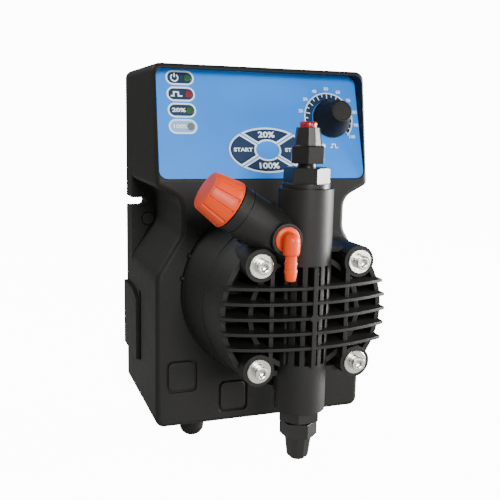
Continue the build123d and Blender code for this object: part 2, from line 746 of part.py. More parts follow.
with BuildPart() as pot_body:
    turn(
        knob_profile,
        KNOB_AXIS,
        (0, -BOARD_BACK),
        (POT_R, -BOARD_BACK),
        (POT_R, -PANEL_WALL - RUN_GAP),
        (BUSHING_R, -PANEL_WALL - RUN_GAP),
        (BUSHING_R, FILM_T),
        (SHAFT_R + RUN_GAP, FILM_T),
        (SHAFT_R + RUN_GAP, -BOARD_BACK + POT_FLOOR),
        (0, -BOARD_BACK + POT_FLOOR),
    )

shaft_foot = POT_FLOOR + FIT_GAP - BOARD_BACK
with BuildPart() as pot_shaft:
    with BuildSketch(panel_seat.offset(shaft_foot)):
        with Locations(KNOB_AT):
            Circle(SHAFT_R)
    extrude(amount=knob_top - KNOB_CAP_T - RUN_GAP - shaft_foot)

board_back = panel_seat.offset(-BOARD_BACK - BOARD_T)
board_length = PANEL_LENGTH - BOARD_MARGIN[1] - BOARD_MARGIN[2]
board_row = BOARD_MARGIN[1] + board_length / 2
with BuildPart() as control_board:
    with BuildSketch(panel_seat.offset(-BOARD_BACK)):
        with Locations((0, board_row)):
            RectangleRounded(PANEL_WIDTH - 2 * BOARD_MARGIN[0], board_length, BOARD_T)
        with Locations(*board_posts):
            Circle(BOARD_SCREW_R + FIT_GAP, mode=Mode.SUBTRACT)
    extrude(amount=-BOARD_T)

with BuildPart() as board_screws:
    with BuildSketch(board_back):
        with Locations(*board_posts):
            Circle(BOARD_HEAD_R)
    extrude(amount=-BOARD_T)
    with BuildSketch(board_back):
        with Locations(*board_posts):
            Circle(BOARD_SCREW_R)
    extrude(amount=BOARD_T + BOARD_SCREW_LENGTH)

with BuildPart() as transformer:
    with BuildSketch(board_back):
        with Locations((TRANSFORMER_IN - PANEL_WIDTH / 2, board_row)):
            Rectangle(TRANSFORMER[0], TRANSFORMER[1])
    extrude(amount=-TRANSFORMER[2])
    chamfer(edges().filter_by(lambda e: abs(e.length - TRANSFORMER[2]) < 0.01), KEY_STEM_R)

with BuildPart() as capacitor:
    with BuildSketch(board_back):
        with Locations((CAPACITOR_AT[0], board_row + CAPACITOR_AT[1])):
            Circle(CAPACITOR[0])
    extrude(amount=-CAPACITOR[1])
    fillet(edges().sort_by(PANEL_AXIS)[0], 1)

with BuildPart() as terminal_block:
    with BuildSketch(board_back):
        with Locations((PANEL_WIDTH / 2 - TERMINALS_IN[0], board_row + TERMINALS_IN[1])):
            Rectangle(TERMINALS[0], TERMINALS[1])
    extrude(amount=-TERMINALS[2])
    with BuildSketch(board_back.offset(-TERMINALS[2])):
        with Locations((PANEL_WIDTH / 2 - TERMINALS_IN[0], board_row + TERMINALS_IN[1])):
            with GridLocations(TERMINALS[0] / TERMINAL_COUNT, 1, TERMINAL_COUNT, 1):
                Circle(TERMINAL_HOLE[0])
    extrude(amount=TERMINAL_HOLE[1], mode=Mode.SUBTRACT)

# Solenoid
coil_back = HOUSING_BACK + HOUSING_WALL
flange_front = CASE_DEPTH + HOUSING_FLANGE_T
rear_hole_r = DRIVE_R + REAR_HOLE_GAP
with BuildPart() as solenoid_housing:
    turn(
        pump_profile,
        PUMP_AXIS,
        (rear_hole_r, HOUSING_BACK),
        (HOUSING_R, HOUSING_BACK),
        (HOUSING_R, CASE_DEPTH),
        (HOUSING_FLANGE_R, CASE_DEPTH),
        (HOUSING_FLANGE_R, flange_front),
        (HOUSING_R - HOUSING_WALL, flange_front),
        (HOUSING_R - HOUSING_WALL, coil_back),
        (rear_hole_r, coil_back),
    )

bobbin_r = HOUSING_R - HOUSING_WALL - FIT_GAP
with BuildPart() as coil_bobbin:
    turn(
        pump_profile,
        PUMP_AXIS,
        (BOBBIN_BORE_R, coil_back),
        (bobbin_r, coil_back),
        (bobbin_r, coil_back + BOBBIN_FLANGE_T),
        (BOBBIN_BORE_R + BOBBIN_WALL, coil_back + BOBBIN_FLANGE_T),
        (BOBBIN_BORE_R + BOBBIN_WALL, COIL_FRONT - BOBBIN_FLANGE_T),
        (bobbin_r, COIL_FRONT - BOBBIN_FLANGE_T),
        (bobbin_r, COIL_FRONT),
        (BOBBIN_BORE_R, COIL_FRONT),
    )

with BuildPart() as solenoid_coil:
    coil_start = coil_back + BOBBIN_FLANGE_T
    tube(
        facing(coil_start),
        bobbin_r - COIL_IN,
        BOBBIN_BORE_R + BOBBIN_WALL + RUN_GAP,
        COIL_FRONT - BOBBIN_FLANGE_T - coil_start,
    )

with BuildPart() as pole_plate:
    tube(facing(COIL_FRONT), bobbin_r, DRIVE_R + FIT_GAP, flange_front - COIL_FRONT)

armature_front = COIL_FRONT - STROKE - RUN_GAP
with BuildPart() as armature:
    tube(
        facing(armature_front - ARMATURE_LENGTH),
        BOBBIN_BORE_R - FIT_GAP,
        DRIVE_R + RUN_GAP,
        ARMATURE_LENGTH,
    )

collar_front = flange_front + SPRING_COLLAR[2]
shaft_start = HOUSING_BACK - SHAFT_TAIL
insert_front = BACK_PLATE_DEPTH - DIAPHRAGM_T - RUN_GAP
shaft_end = insert_front - INSERT_FACE_T
with BuildPart() as drive_shaft:
    with BuildSketch(facing(shaft_start)):
        Circle(DRIVE_R)
    extrude(amount=shaft_end - shaft_start)
    with BuildSketch(facing(collar_front - SPRING_COLLAR[1])):
        Circle(SPRING_COLLAR[0])
    extrude(amount=SPRING_COLLAR[1])

# Adapter, back plate and diaphragm
spigot_r = BOSS_R - BOSS_WALL - SPIGOT_GAP
spigot_back = CASE_DEPTH + SPIGOT_END_GAP
hub_back = ADAPTER_DEPTH - HUB_LENGTH
web_back = ADAPTER_DEPTH - WEB_T
screw_start = ADAPTER_DEPTH - SCREW_GRIP
with BuildPart() as adapter_ring:
    turn(
        pump_profile,
        PUMP_AXIS,
        (spigot_r, spigot_back),
        (spigot_r, BOSS_DEPTH),
        (BOSS_R - RECESS_GAP, BOSS_DEPTH),
        (ADAPTER_FRONT_R, ADAPTER_DEPTH),
        (BUSH_R + FIT_GAP, ADAPTER_DEPTH),
        (BUSH_R + FIT_GAP, hub_back),
        (BUSH_R + HUB_WALL, hub_back),
        (BUSH_R + HUB_WALL, web_back),
        (spigot_r - ADAPTER_WALL, web_back),
        (spigot_r - ADAPTER_WALL, spigot_back),
    )
    with BuildSketch(facing(screw_start - 2)):
        with GridLocations(SCREW_SPACING, SCREW_SPACING, 2, 2):
            Circle(SCREW_POST_R)
    extrude(amount=web_back - screw_start + 3)
    with BuildSketch(facing(screw_start - 1)):
        with GridLocations(SCREW_SPACING, SCREW_SPACING, 2, 2):
            Circle(SCREW_R + FIT_GAP)
    extrude(amount=ADAPTER_DEPTH - screw_start + 1, mode=Mode.SUBTRACT)

with BuildPart() as shaft_bush:
    tube(facing(hub_back), BUSH_R, DRIVE_R + RUN_GAP, BUSH_LENGTH)

spring_length = hub_back - collar_front - 2 * SPRING_WIRE_R
with BuildPart() as return_spring:
    with BuildLine():
        coil_line = Helix(
            pitch=spring_length / SPRING_TURNS,
            height=spring_length,
            radius=SPRING_R,
            center=(0, -(collar_front + SPRING_WIRE_R), 0),
            direction=(0, -1, 0),
        )
    with BuildSketch(Plane(coil_line @ 0, z_dir=coil_line % 0)):
        Circle(SPRING_WIRE_R)
    sweep(is_frenet=True)

with BuildPart() as back_plate:
    turn(
        pump_profile,
        PUMP_AXIS,
        (ADAPTER_FRONT_R - 0.4, ADAPTER_DEPTH),
        (ADAPTER_FRONT_R - 0.7, BACK_PLATE_DEPTH),
        (DIAPHRAGM_R + RECESS_GAP, BACK_PLATE_DEPTH),
        (DIAPHRAGM_R + RECESS_GAP, BACK_PLATE_DEPTH - DIAPHRAGM_T),
        (THROAT_R, BACK_PLATE_DEPTH - DIAPHRAGM_T),
        (THROAT_R, ADAPTER_DEPTH),
    )
    with BuildSketch(facing(ADAPTER_DEPTH)):
        with GridLocations(SCREW_SPACING, SCREW_SPACING, 2, 2):
            Circle(SCREW_R + HOLE_GAP)
    extrude(amount=BACK_PLATE_DEPTH - ADAPTER_DEPTH, mode=Mode.SUBTRACT)

with BuildPart() as diaphragm:
    turn(
        pump_profile,
        PUMP_AXIS,
        (0, BACK_PLATE_DEPTH - DIAPHRAGM_T),
        (DIAPHRAGM_R, BACK_PLATE_DEPTH - DIAPHRAGM_T),
        (DIAPHRAGM_R, BACK_PLATE_DEPTH),
        (THROAT_R, BACK_PLATE_DEPTH),
        (THROAT_R - 3, BACK_PLATE_DEPTH + DIAPHRAGM_CROWN),
        (0, BACK_PLATE_DEPTH + DIAPHRAGM_CROWN),
    )

with BuildPart() as diaphragm_insert:
    turn(
        pump_profile,
        PUMP_AXIS,
        (DRIVE_R + RUN_GAP, INSERT_BACK),
        (BUSH_R - 0.5, INSERT_BACK),
        (BUSH_R - 0.5, ADAPTER_DEPTH + 1),
        (INSERT_R, ADAPTER_DEPTH + 1),
        (INSERT_R, insert_front),
        (0, insert_front),
        (0, shaft_end),
        (DRIVE_R + RUN_GAP, shaft_end),
    )

# Pump head
chamber_front = BACK_PLATE_DEPTH + DIAPHRAGM_CROWN + STROKE + CHAMBER_GAP
head_floor = BACK_PLATE_DEPTH + HEAD_FLOOR
drum_height = HEAD_RIM_DEPTH - BACK_PLATE_DEPTH

with BuildPart() as head_fins:
    for count in range(FIN_COUNT):
        height = (count - (FIN_COUNT - 1) / 2) * FIN_PITCH
        with BuildSketch(Plane.XY.offset(height - FIN_T / 2)):
            with BuildLine():
                ThreePointArc(
                    (-FIN_HALF_WIDTH, -FIN_SIDE_DEPTH),
                    (0, -FIN_CREST_DEPTH),
                    (FIN_HALF_WIDTH, -FIN_SIDE_DEPTH),
                )
                Polyline(
                    (FIN_HALF_WIDTH, -FIN_SIDE_DEPTH),
                    (FIN_HALF_WIDTH, -head_floor),
                    (-FIN_HALF_WIDTH, -head_floor),
                    (-FIN_HALF_WIDTH, -FIN_SIDE_DEPTH),
                )
            make_face()
        extrude(amount=FIN_T)
    with BuildSketch(facing(head_floor - 1)):
        Circle(FIN_HALF_WIDTH)
    extrude(amount=FIN_CREST_DEPTH, mode=Mode.INTERSECT)

with BuildPart() as pump_head:
    with BuildSketch(facing(BACK_PLATE_DEPTH)):
        Circle(HEAD_R)
        Rectangle(3 * HEAD_R, 2 * HEAD_FLAT, mode=Mode.INTERSECT)
    extrude(amount=drum_height, taper=HEAD_TAPER)
    rim_r = HEAD_R - drum_height * tan(radians(HEAD_TAPER))
    rim_flat = HEAD_FLAT - drum_height * tan(radians(HEAD_TAPER))
    with BuildSketch(facing(head_floor)):
        Circle(rim_r - DRUM_WALL)
        Rectangle(3 * HEAD_R, 2 * (rim_flat - DRUM_WALL), mode=Mode.INTERSECT)
    extrude(amount=drum_height, mode=Mode.SUBTRACT)
    tube(facing(head_floor - 1), TUBE_R, TUBE_R - TUBE_WALL, TUBE_DEPTH - head_floor + 1)
    with BuildSketch(facing(BACK_PLATE_DEPTH)):
        with GridLocations(SCREW_SPACING, SCREW_SPACING, 2, 2):
            Circle(SCREW_BOSS_R)
    extrude(amount=HEAD_FACE_DEPTH - BACK_PLATE_DEPTH)
    # upright plates each side of the column
    with BuildSketch(facing(head_floor - 1)):
        with GridLocations(2 * PLATE_X, 1, 2, 1):
            Rectangle(PLATE_T, 2 * PLATE_HALF)
    extrude(amount=HEAD_FACE_DEPTH - head_floor + 1)
    # valve column and its spine
    with BuildSketch(level(COLUMN_FOOT)):
        Circle(COLUMN_LOW_R)
    extrude(amount=-COLUMN_FOOT)
    with BuildSketch(level(0)):
        Circle(COLUMN_R)
    extrude(amount=COLUMN_TOP)
    with BuildSketch(facing(BACK_PLATE_DEPTH)):
        with Locations((0, (COLUMN_TOP + COLUMN_FOOT) / 2)):
            Rectangle(2 * BORE_R, COLUMN_TOP - COLUMN_FOOT - 2 * SPINE_SHORT)
    extrude(amount=COLUMN_DEPTH - BACK_PLATE_DEPTH)
    # vent branch with the boss for its elbow
    with BuildSketch(across_vent(0)):
        Circle(VENT_R)
    extrude(amount=VENT_LENGTH)
    with BuildSketch(facing(COLUMN_DEPTH)):
        with Locations((elbow_x, elbow_z)):
            Circle(ELBOW_BOSS_R)
    extrude(amount=ELBOW_FACE_DEPTH - COLUMN_DEPTH)
    # slots between the column's upright ribs
    with BuildSketch(facing(SLOT_FLOOR_DEPTH)):
        with GridLocations(RIB_PITCH, 1, RIB_COUNT, 1):
            Rectangle(SLOT_T, 2 * SLOT_HALF)
    extrude(amount=FIN_CREST_DEPTH - SLOT_FLOOR_DEPTH + 1, mode=Mode.SUBTRACT)
    add(head_fins.part)
    # front rib with its diamond boss
    with BuildSketch(facing(COLUMN_DEPTH + COLUMN_R - 3)):
        Rectangle(RIB_PITCH - SLOT_T, 2 * SLOT_HALF)
        Rectangle(DIAMOND, DIAMOND, rotation=45)
    extrude(amount=FIN_CREST_DEPTH - COLUMN_DEPTH - COLUMN_R + 3 + DIAMOND_PROUD)
    # bores for the valves and the passage between them
    with BuildSketch(level(SEAT_HEIGHT)):
        Circle(BORE_R)
    extrude(amount=COLUMN_TOP - SEAT_HEIGHT, mode=Mode.SUBTRACT)
    with BuildSketch(level(COLUMN_FOOT)):
        Circle(BORE_R)
    extrude(amount=SUCTION_SEAT - COLUMN_FOOT, mode=Mode.SUBTRACT)
    with BuildSketch(level(SUCTION_SEAT)):
        Circle(PASSAGE_R)
    extrude(amount=SEAT_HEIGHT - SUCTION_SEAT, mode=Mode.SUBTRACT)
    with BuildSketch(facing(BACK_PLATE_DEPTH)):
        Circle(PASSAGE_R)
    extrude(amount=COLUMN_DEPTH - BACK_PLATE_DEPTH, mode=Mode.SUBTRACT)
    with BuildSketch(facing(BACK_PLATE_DEPTH)):
        Circle(CHAMBER_R)
    extrude(amount=chamber_front - BACK_PLATE_DEPTH, mode=Mode.SUBTRACT)
    # vent bores and the elbow's socket
    with BuildSketch(across_vent(BORE_R)):
        Circle(PASSAGE_R / 2)
    extrude(amount=VENT_BORE_START - BORE_R, mode=Mode.SUBTRACT)
    with BuildSketch(across_vent(VENT_BORE_START)):
        Circle(VENT_BORE_R)
    extrude(amount=VENT_LENGTH, mode=Mode.SUBTRACT)
    with BuildSketch(facing(COLUMN_DEPTH)):
        with Locations((elbow_x, elbow_z)):
            Circle(PASSAGE_R / 2)
    extrude(amount=ELBOW_FACE_DEPTH, mode=Mode.SUBTRACT)
    with BuildSketch(facing(ELBOW_FACE_DEPTH - ELBOW_NECK_LENGTH - SPIGOT_GAP)):
        with Locations((elbow_x, elbow_z)):
            Circle(ELBOW_NECK_R)
    extrude(amount=ELBOW_NECK_LENGTH + 1, mode=Mode.SUBTRACT)
    # seam where the branch's bonnet is welded on
    turn(
        vent_profile,
        VENT_AXIS,
        (VENT_R - VENT_SEAM[2], VENT_SEAM[0]),
        (VENT_R + 1, VENT_SEAM[0]),
        (VENT_R + 1, VENT_SEAM[0] + VENT_SEAM[1]),
        (VENT_R - VENT_SEAM[2], VENT_SEAM[0] + VENT_SEAM[1]),
        mode=Mode.SUBTRACT,
    )
    with BuildSketch(facing(BACK_PLATE_DEPTH)):
        with GridLocations(SCREW_SPACING, SCREW_SPACING, 2, 2):
            Circle(SCREW_R + HOLE_GAP)
    extrude(amount=HEAD_FACE_DEPTH, mode=Mode.SUBTRACT)

with BuildPart() as head_washers:
    with BuildSketch(facing(HEAD_FACE_DEPTH)):
        with GridLocations(SCREW_SPACING, SCREW_SPACING, 2, 2):
            Circle(WASHER_R)
            Circle(SCREW_R + RECESS_GAP, mode=Mode.SUBTRACT)
    extrude(amount=WASHER_T)

with BuildPart() as head_screws:
    with BuildSketch(facing(HEAD_FACE_DEPTH + WASHER_T)):
        with GridLocations(SCREW_SPACING, SCREW_SPACING, 2, 2):
            Circle(SCREW_HEAD[0])
    extrude(amount=SCREW_HEAD[1])
    with BuildSketch(facing(HEAD_FACE_DEPTH + WASHER_T)):
        with GridLocations(SCREW_SPACING, SCREW_SPACING, 2, 2):
            Circle(SCREW_R)
    extrude(amount=-(HEAD_FACE_DEPTH + WASHER_T - screw_start))
    with BuildSketch(facing(HEAD_FACE_DEPTH + WASHER_T + SCREW_HEAD[1])):
        with GridLocations(SCREW_SPACING, SCREW_SPACING, 2, 2):
            RegularPolygon(SOCKET[0], 6)
    extrude(amount=-SOCKET[1], mode=Mode.SUBTRACT)


# Valves
cartridge_r = BORE_R - FIT_GAP
ball_rise = sqrt(BALL_R**2 - BALL_SEAT_R**2) + BALL_GAP
cage_top = SEAT_T + ball_rise + BALL_R + BALL_LIFT + FIT_GAP


def cartridge(foot):
    turn(
        valve_profile,
        VALVE_AXIS,
        (BALL_SEAT_R, foot),
        (cartridge_r, foot),
        (cartridge_r, foot + CARTRIDGE_LENGTH),
        (0, foot + CARTRIDGE_LENGTH),
        (0, foot + cage_top),
        (cartridge_r - CHAMBER_WALL, foot + cage_top),
        (cartridge_r - CHAMBER_WALL, foot + SEAT_T),
        (BALL_SEAT_R, foot + SEAT_T),
    )
    with BuildSketch(level(foot + cage_top)) as cage:
        with PolarLocations(BALL_R, 4):
            Circle(CAGE_HOLE_R)
    extrude(cage.sketch, amount=CARTRIDGE_LENGTH - cage_top, mode=Mode.SUBTRACT)


discharge_foot = SEAT_HEIGHT + ORING_T
suction_foot = SUCTION_SEAT - CARTRIDGE_LENGTH
with BuildPart() as discharge_valve:
    cartridge(discharge_foot)
with BuildPart() as suction_valve:
    cartridge(suction_foot)
with BuildPart() as discharge_ball:
    with Locations((0, -COLUMN_DEPTH, discharge_foot + SEAT_T + ball_rise)):
        Sphere(BALL_R)
with BuildPart() as suction_ball:
    with Locations((0, -COLUMN_DEPTH, suction_foot + SEAT_T + ball_rise)):
        Sphere(BALL_R)
with BuildPart() as valve_seals:
    for foot in (SEAT_HEIGHT, suction_foot - ORING_T):
        tube(level(foot), cartridge_r, cartridge_r - ORING_T, ORING_T)


# Hose connections. `way` is 1 for the discharge side, going up, and -1 for suction.
def column_plane(height, way):
    return Plane(origin=(0, -COLUMN_DEPTH, height), x_dir=(1, 0, 0), z_dir=(0, 0, way))


def hexagon(across, height, way, length, angle, bevel):
    # a hexagon prism whose outer end is turned to a bevel
    with BuildSketch(column_plane(height, way)) as outline:
        RegularPolygon(across / 2, 6, major_radius=False, rotation=angle)
    extrude(outline.sketch, amount=length)
    corner = across / 2 / cos(pi / 6)
    turn(
        valve_profile,
        VALVE_AXIS,
        (0, height),
        (corner + 1, height),
        (corner + 1, height + way * (length - bevel)),
        (corner - bevel * 1.9, height + way * length),
        (0, height + way * length),
        mode=Mode.INTERSECT,
    )




def connector(way, hexagon_span, angle, shank_end, collar):
    hexagon(HEX_ACROSS, hexagon_span[0], way, abs(hexagon_span[1] - hexagon_span[0]), angle, 0.7)
    post(column_plane(hexagon_span[1], way), NECK_R, NECK_LENGTH)
    foot = hexagon_span[0] - way * collar
    if collar:
        post(column_plane(foot, way), COLUMN_R - COLLAR_IN, collar)
    post(column_plane(foot, -way), cartridge_r, abs(foot - shank_end))
    post(column_plane(shank_end, way), CONNECTOR_BORE_R, COLUMN_TOP, Mode.SUBTRACT)


def hose_nut(way, start, gap, sizes, angle):
    across, hex_height, cone_height = sizes
    hexagon(across, start, way, hex_height, angle, 1.0)
    shoulder = start + way * hex_height
    with BuildSketch(column_plane(shoulder, way)) as facets:
        RegularPolygon(NUT_CONE_R[0], 12, rotation=angle)
    lean = degrees(atan((NUT_CONE_R[0] - NUT_CONE_R[1]) / cone_height))
    extrude(facets.sketch, amount=cone_height, taper=lean)
    seat = NECK_LENGTH + NIPPLE_FLANGE_T - gap + RECESS_GAP
    post(column_plane(start, way), NECK_R + FIT_GAP, seat, Mode.SUBTRACT)
    sleeve_r = TUBE_HOLE_R + COLLET_WALL + FIT_GAP
    post(column_plane(start, way), sleeve_r, hex_height + cone_height, Mode.SUBTRACT)




def nipple(way, start):
    bore_r = NIPPLE_R - NIPPLE_WALL
    tube(column_plane(start, way), NECK_R - FIT_GAP, bore_r, NIPPLE_FLANGE_T)
    tube(column_plane(start + way * NIPPLE_FLANGE_T, way), NIPPLE_R, bore_r, NIPPLE_LENGTH)


def collet(way, nut_end, tip):
    tube(column_plane(nut_end, -way), TUBE_HOLE_R + COLLET_WALL, TUBE_HOLE_R, COLLET_SLEEVE)
    with BuildSketch(column_plane(nut_end, way)) as lobes:
        Circle(COLLET_R)
        with PolarLocations(COLLET_R + COLLET_WALL, COLLET_LOBES):
            Circle(2 * COLLET_WALL, mode=Mode.SUBTRACT)
        Circle(TUBE_HOLE_R, mode=Mode.SUBTRACT)
    extrude(lobes.sketch, amount=tip)


discharge_hex = (COLUMN_TOP + COLLAR_T, COLUMN_TOP + COLLAR_T + DISCHARGE_HEX_T)
suction_hex = (COLUMN_FOOT, COLUMN_FOOT - SUCTION_HEX_T)
discharge_nut_start = discharge_hex[1] + DISCHARGE_NUT_GAP
suction_nut_start = suction_hex[1] - SUCTION_NUT_GAP
discharge_shank = discharge_foot + CARTRIDGE_LENGTH + SPIGOT_END_GAP
suction_shank = suction_foot - ORING_T - SPIGOT_END_GAP
discharge_end = discharge_nut_start + DISCHARGE_NUT[1] + DISCHARGE_NUT[2]
suction_end = suction_nut_start - SUCTION_NUT[1] - SUCTION_NUT[2]
with BuildPart() as discharge_connector:
    connector(1, discharge_hex, DISCHARGE_TURN[0], discharge_shank, COLLAR_T)
with BuildPart() as suction_connector:
    connector(-1, suction_hex, SUCTION_TURN[0], suction_shank, 0)
with BuildPart() as discharge_nut:
    hose_nut(1, discharge_nut_start, DISCHARGE_NUT_GAP, DISCHARGE_NUT, DISCHARGE_TURN[1])
with BuildPart() as suction_nut:
    hose_nut(-1, suction_nut_start, SUCTION_NUT_GAP, SUCTION_NUT, SUCTION_TURN[1])
with BuildPart() as discharge_nipple:
    nipple(1, discharge_hex[1] + NECK_LENGTH)
with BuildPart() as suction_nipple:
    nipple(-1, suction_hex[1] - NECK_LENGTH)
with BuildPart() as discharge_collet:
    collet(1, discharge_end, DISCHARGE_COLLET_TIP)
with BuildPart() as suction_collet:
    collet(-1, suction_end, SUCTION_COLLET_TIP)

# Vent valve
stem_r = VENT_BORE_R - FIT_GAP
stem_end = VENT_LENGTH + STEM_NECK_LENGTH
seal_r = VENT_BORE_R - SEAL_WIRE_R - RUN_GAP
groove_r = seal_r - SEAL_WIRE_R - FIT_GAP
groove_half = SEAL_WIRE_R + RECESS_GAP
knob_start = VENT_LENGTH + VENT_KNOB_GAP
with BuildPart() as vent_stem:
    turn(
        vent_profile,
        VENT_AXIS,
        (0, VENT_BORE_START + FIT_GAP),
        (PASSAGE_R / 2 + 1, VENT_BORE_START + FIT_GAP),
        (STEM_NECK_R, VENT_BORE_START + 2),
        (STEM_NECK_R, VENT_BORE_START + 6),
        (stem_r, VENT_BORE_START + 6),
        (stem_r, SEAL_AT - groove_half),
        (groove_r, SEAL_AT - groove_half),
        (groove_r, SEAL_AT + groove_half),
        (stem_r, SEAL_AT + groove_half),
        (stem_r, VENT_LENGTH - 1),
        (STEM_NECK_R, VENT_LENGTH - 0.5),
        (STEM_NECK_R, stem_end),
        (0, stem_end),
    )

with BuildPart() as vent_seal:
    with BuildSketch(vent_profile):
        with Locations((seal_r, SEAL_AT)):
            Circle(SEAL_WIRE_R)
    revolve(axis=VENT_AXIS)


def fluted(radius):
    # a gear-like outline: each flute is a straight-sided groove between two lands
    step = 2 * pi / VENT_KNOB_FLUTES
    corners = []
    for flute in range(VENT_KNOB_FLUTES):
        for share, depth in ((0.0, 0), (0.7, 0), (0.76, FLUTE_DEPTH), (0.94, FLUTE_DEPTH)):
            angle = (flute + share) * step
            corners.append(((radius - depth) * cos(angle), (radius - depth) * sin(angle)))
    with BuildLine() as outline:
        Polyline(*corners, close=True)
    make_face(outline.edges())


with BuildPart() as vent_knob:
    with BuildSketch(across_vent(knob_start + VENT_KNOB_RIM)):
        fluted(VENT_KNOB_R[0])
    with BuildSketch(across_vent(knob_start + VENT_KNOB_LENGTH)):
        fluted(VENT_KNOB_R[1])
    loft(ruled=True)
    with BuildSketch(across_vent(knob_start)):
        Circle(VENT_KNOB_R[0])
    extrude(amount=VENT_KNOB_RIM)
    with BuildSketch(across_vent(knob_start)):
        Circle(STEM_NECK_R + RUN_GAP)
    extrude(amount=stem_end + HOLE_GAP - knob_start, mode=Mode.SUBTRACT)
    with BuildSketch(across_vent(knob_start)):
        Circle(VENT_KNOB_R[1] - VENT_KNOB_WALL)
        Circle(STEM_NECK_R + VENT_KNOB_WALL, mode=Mode.SUBTRACT)
    extrude(amount=VENT_KNOB_LENGTH / 2, mode=Mode.SUBTRACT)

elbow_foot = ELBOW_FACE_DEPTH - ELBOW_NECK_LENGTH
with BuildPart() as vent_elbow:
    face = ELBOW_FACE_DEPTH + ELBOW_SEAT_GAP
    turn(
        elbow_profile,
        ELBOW_AXIS,
        (0, elbow_foot),
        (ELBOW_NECK_R - FIT_GAP, elbow_foot),
        (ELBOW_NECK_R - FIT_GAP, face),
        (ELBOW_DISC_R, face),
        (ELBOW_DISC_R, face + ELBOW_DISC_T),
        (ELBOW_NECK_R, face + ELBOW_DISC_T),
        (ELBOW_NECK_R, BARB_DEPTH),
        (0, BARB_DEPTH),
    )
    with Locations((elbow_x, -BARB_DEPTH, elbow_z)):
        Sphere(ELBOW_NECK_R)
    turn(
        barb_profile,
        BARB_AXIS,
        (0, 0),
        (ELBOW_NECK_R, 0),
        (ELBOW_NECK_R, -0.34 * ELBOW_DROP),
        (ELBOW_BARB_R, -0.34 * ELBOW_DROP),
        (ELBOW_BARB_R, -0.52 * ELBOW_DROP),
        (ELBOW_BARB_R + ELBOW_BARB_STEP, -0.52 * ELBOW_DROP),
        (ELBOW_BARB_R, -0.64 * ELBOW_DROP),
        (ELBOW_BARB_R, -0.71 * ELBOW_DROP),
        (ELBOW_BARB_R + ELBOW_BARB_STEP, -0.71 * ELBOW_DROP),
        (ELBOW_BARB_R - ELBOW_BARB_STEP, -ELBOW_DROP),
        (0, -ELBOW_DROP),
    )
    with BuildSketch(Plane.XY.offset(elbow_z - ELBOW_DROP)):
        with Locations((elbow_x, -BARB_DEPTH)):
            Circle(ELBOW_BORE_R)
    extrude(amount=ELBOW_DROP, mode=Mode.SUBTRACT)
    with BuildSketch(facing(elbow_foot)):
        with Locations((elbow_x, elbow_z)):
            Circle(ELBOW_BORE_R)
    extrude(amount=BARB_DEPTH - elbow_foot, mode=Mode.SUBTRACT)

with BuildPart() as elbow_ring:
    with BuildSketch(facing(ELBOW_FACE_DEPTH)):
        with Locations((elbow_x, elbow_z)):
            Circle(ELBOW_BOSS_R - FIT_GAP)
            Circle(ELBOW_DISC_R + HOLE_GAP, mode=Mode.SUBTRACT)
    extrude(amount=ELBOW_RING_T)

# Blanking caps and cable gland
blanking_caps = {}
cap_shift = (CAP_MARGINS[0] - CAP_MARGINS[1]) / 2
for name, spot in zip(("left", "right"), cap_spots):
    with BuildPart() as cap:
        with BuildSketch(facing(CASE_DEPTH - CAP_RECESS)):
            with Locations((spot[0] + cap_shift, spot[1] - cap_shift)):
                RectangleRounded(CAP_SIZE[0] - sum(CAP_MARGINS), CAP_SIZE[1] - sum(CAP_MARGINS), CAP_R)
        extrude(amount=CAP_RECESS + CAP_PROUD)
        fillet(faces().sort_by(Axis.Y)[0].edges(), CAP_PROUD)
        with BuildSketch(facing(CASE_DEPTH - WALL - 1)):
            with Locations(spot):
                plug_in = 2 * (CAP_STEP + RECESS_GAP)
                RectangleRounded(CAP_SIZE[0] - plug_in, CAP_SIZE[1] - plug_in, CAP_R - 1)
        extrude(amount=WALL + 1 - CAP_RECESS)
    blanking_caps[f"blanking_cap_{name}"] = cap

gland_profile = Plane(
    origin=(gland_spot[0], -gland_spot[1], CASE_FOOT), x_dir=(1, 0, 0), z_dir=(0, -1, 0)
)
GLAND_AXIS = Axis(gland_profile.origin, (0, 0, 1))
with BuildPart() as gland_body:
    with BuildSketch(Plane.XY.offset(CASE_FOOT)):
        with Locations((gland_spot[0], -gland_spot[1])):
            RegularPolygon(GLAND_COLLAR[0] / 2, 6, major_radius=False)
    extrude(amount=-GLAND_COLLAR[1])
    turn(
        gland_profile,
        GLAND_AXIS,
        (0, -GLAND_BODY_END),
        (GLAND_THREAD_R, -GLAND_BODY_END),
        (GLAND_THREAD_R, GLAND_THREAD_LENGTH),
        (0, GLAND_THREAD_LENGTH),
    )
    turn(
        gland_profile,
        GLAND_AXIS,
        (0, -GLAND_BODY_END),
        (GLAND_CORE_R, -GLAND_BODY_END),
        (GLAND_CORE_R, GLAND_THREAD_LENGTH),
        (0, GLAND_THREAD_LENGTH),
        mode=Mode.SUBTRACT,
    )

nut_seat = GLAND_NUT_LIP - GLAND_DROP
with BuildPart() as gland_nut:
    with BuildSketch(gland_profile):
        with BuildLine():
            Polyline(
                (GLAND_BORE_R + HOLE_GAP, -GLAND_DROP),
                (GLAND_BORE_R + HOLE_GAP, nut_seat),
                (GLAND_THREAD_R + FIT_GAP, nut_seat),
                (GLAND_THREAD_R + FIT_GAP, -GLAND_NUT_START),
                (GLAND_NUT_R, -GLAND_NUT_START),
                (GLAND_NUT_R, 6 - GLAND_DROP),
            )
            ThreePointArc(
                (GLAND_NUT_R, 6 - GLAND_DROP),
                (GLAND_NUT_R - 1, 2.2 - GLAND_DROP),
                (GLAND_BORE_R + HOLE_GAP, -GLAND_DROP),
            )
        make_face()
    revolve(axis=GLAND_AXIS)

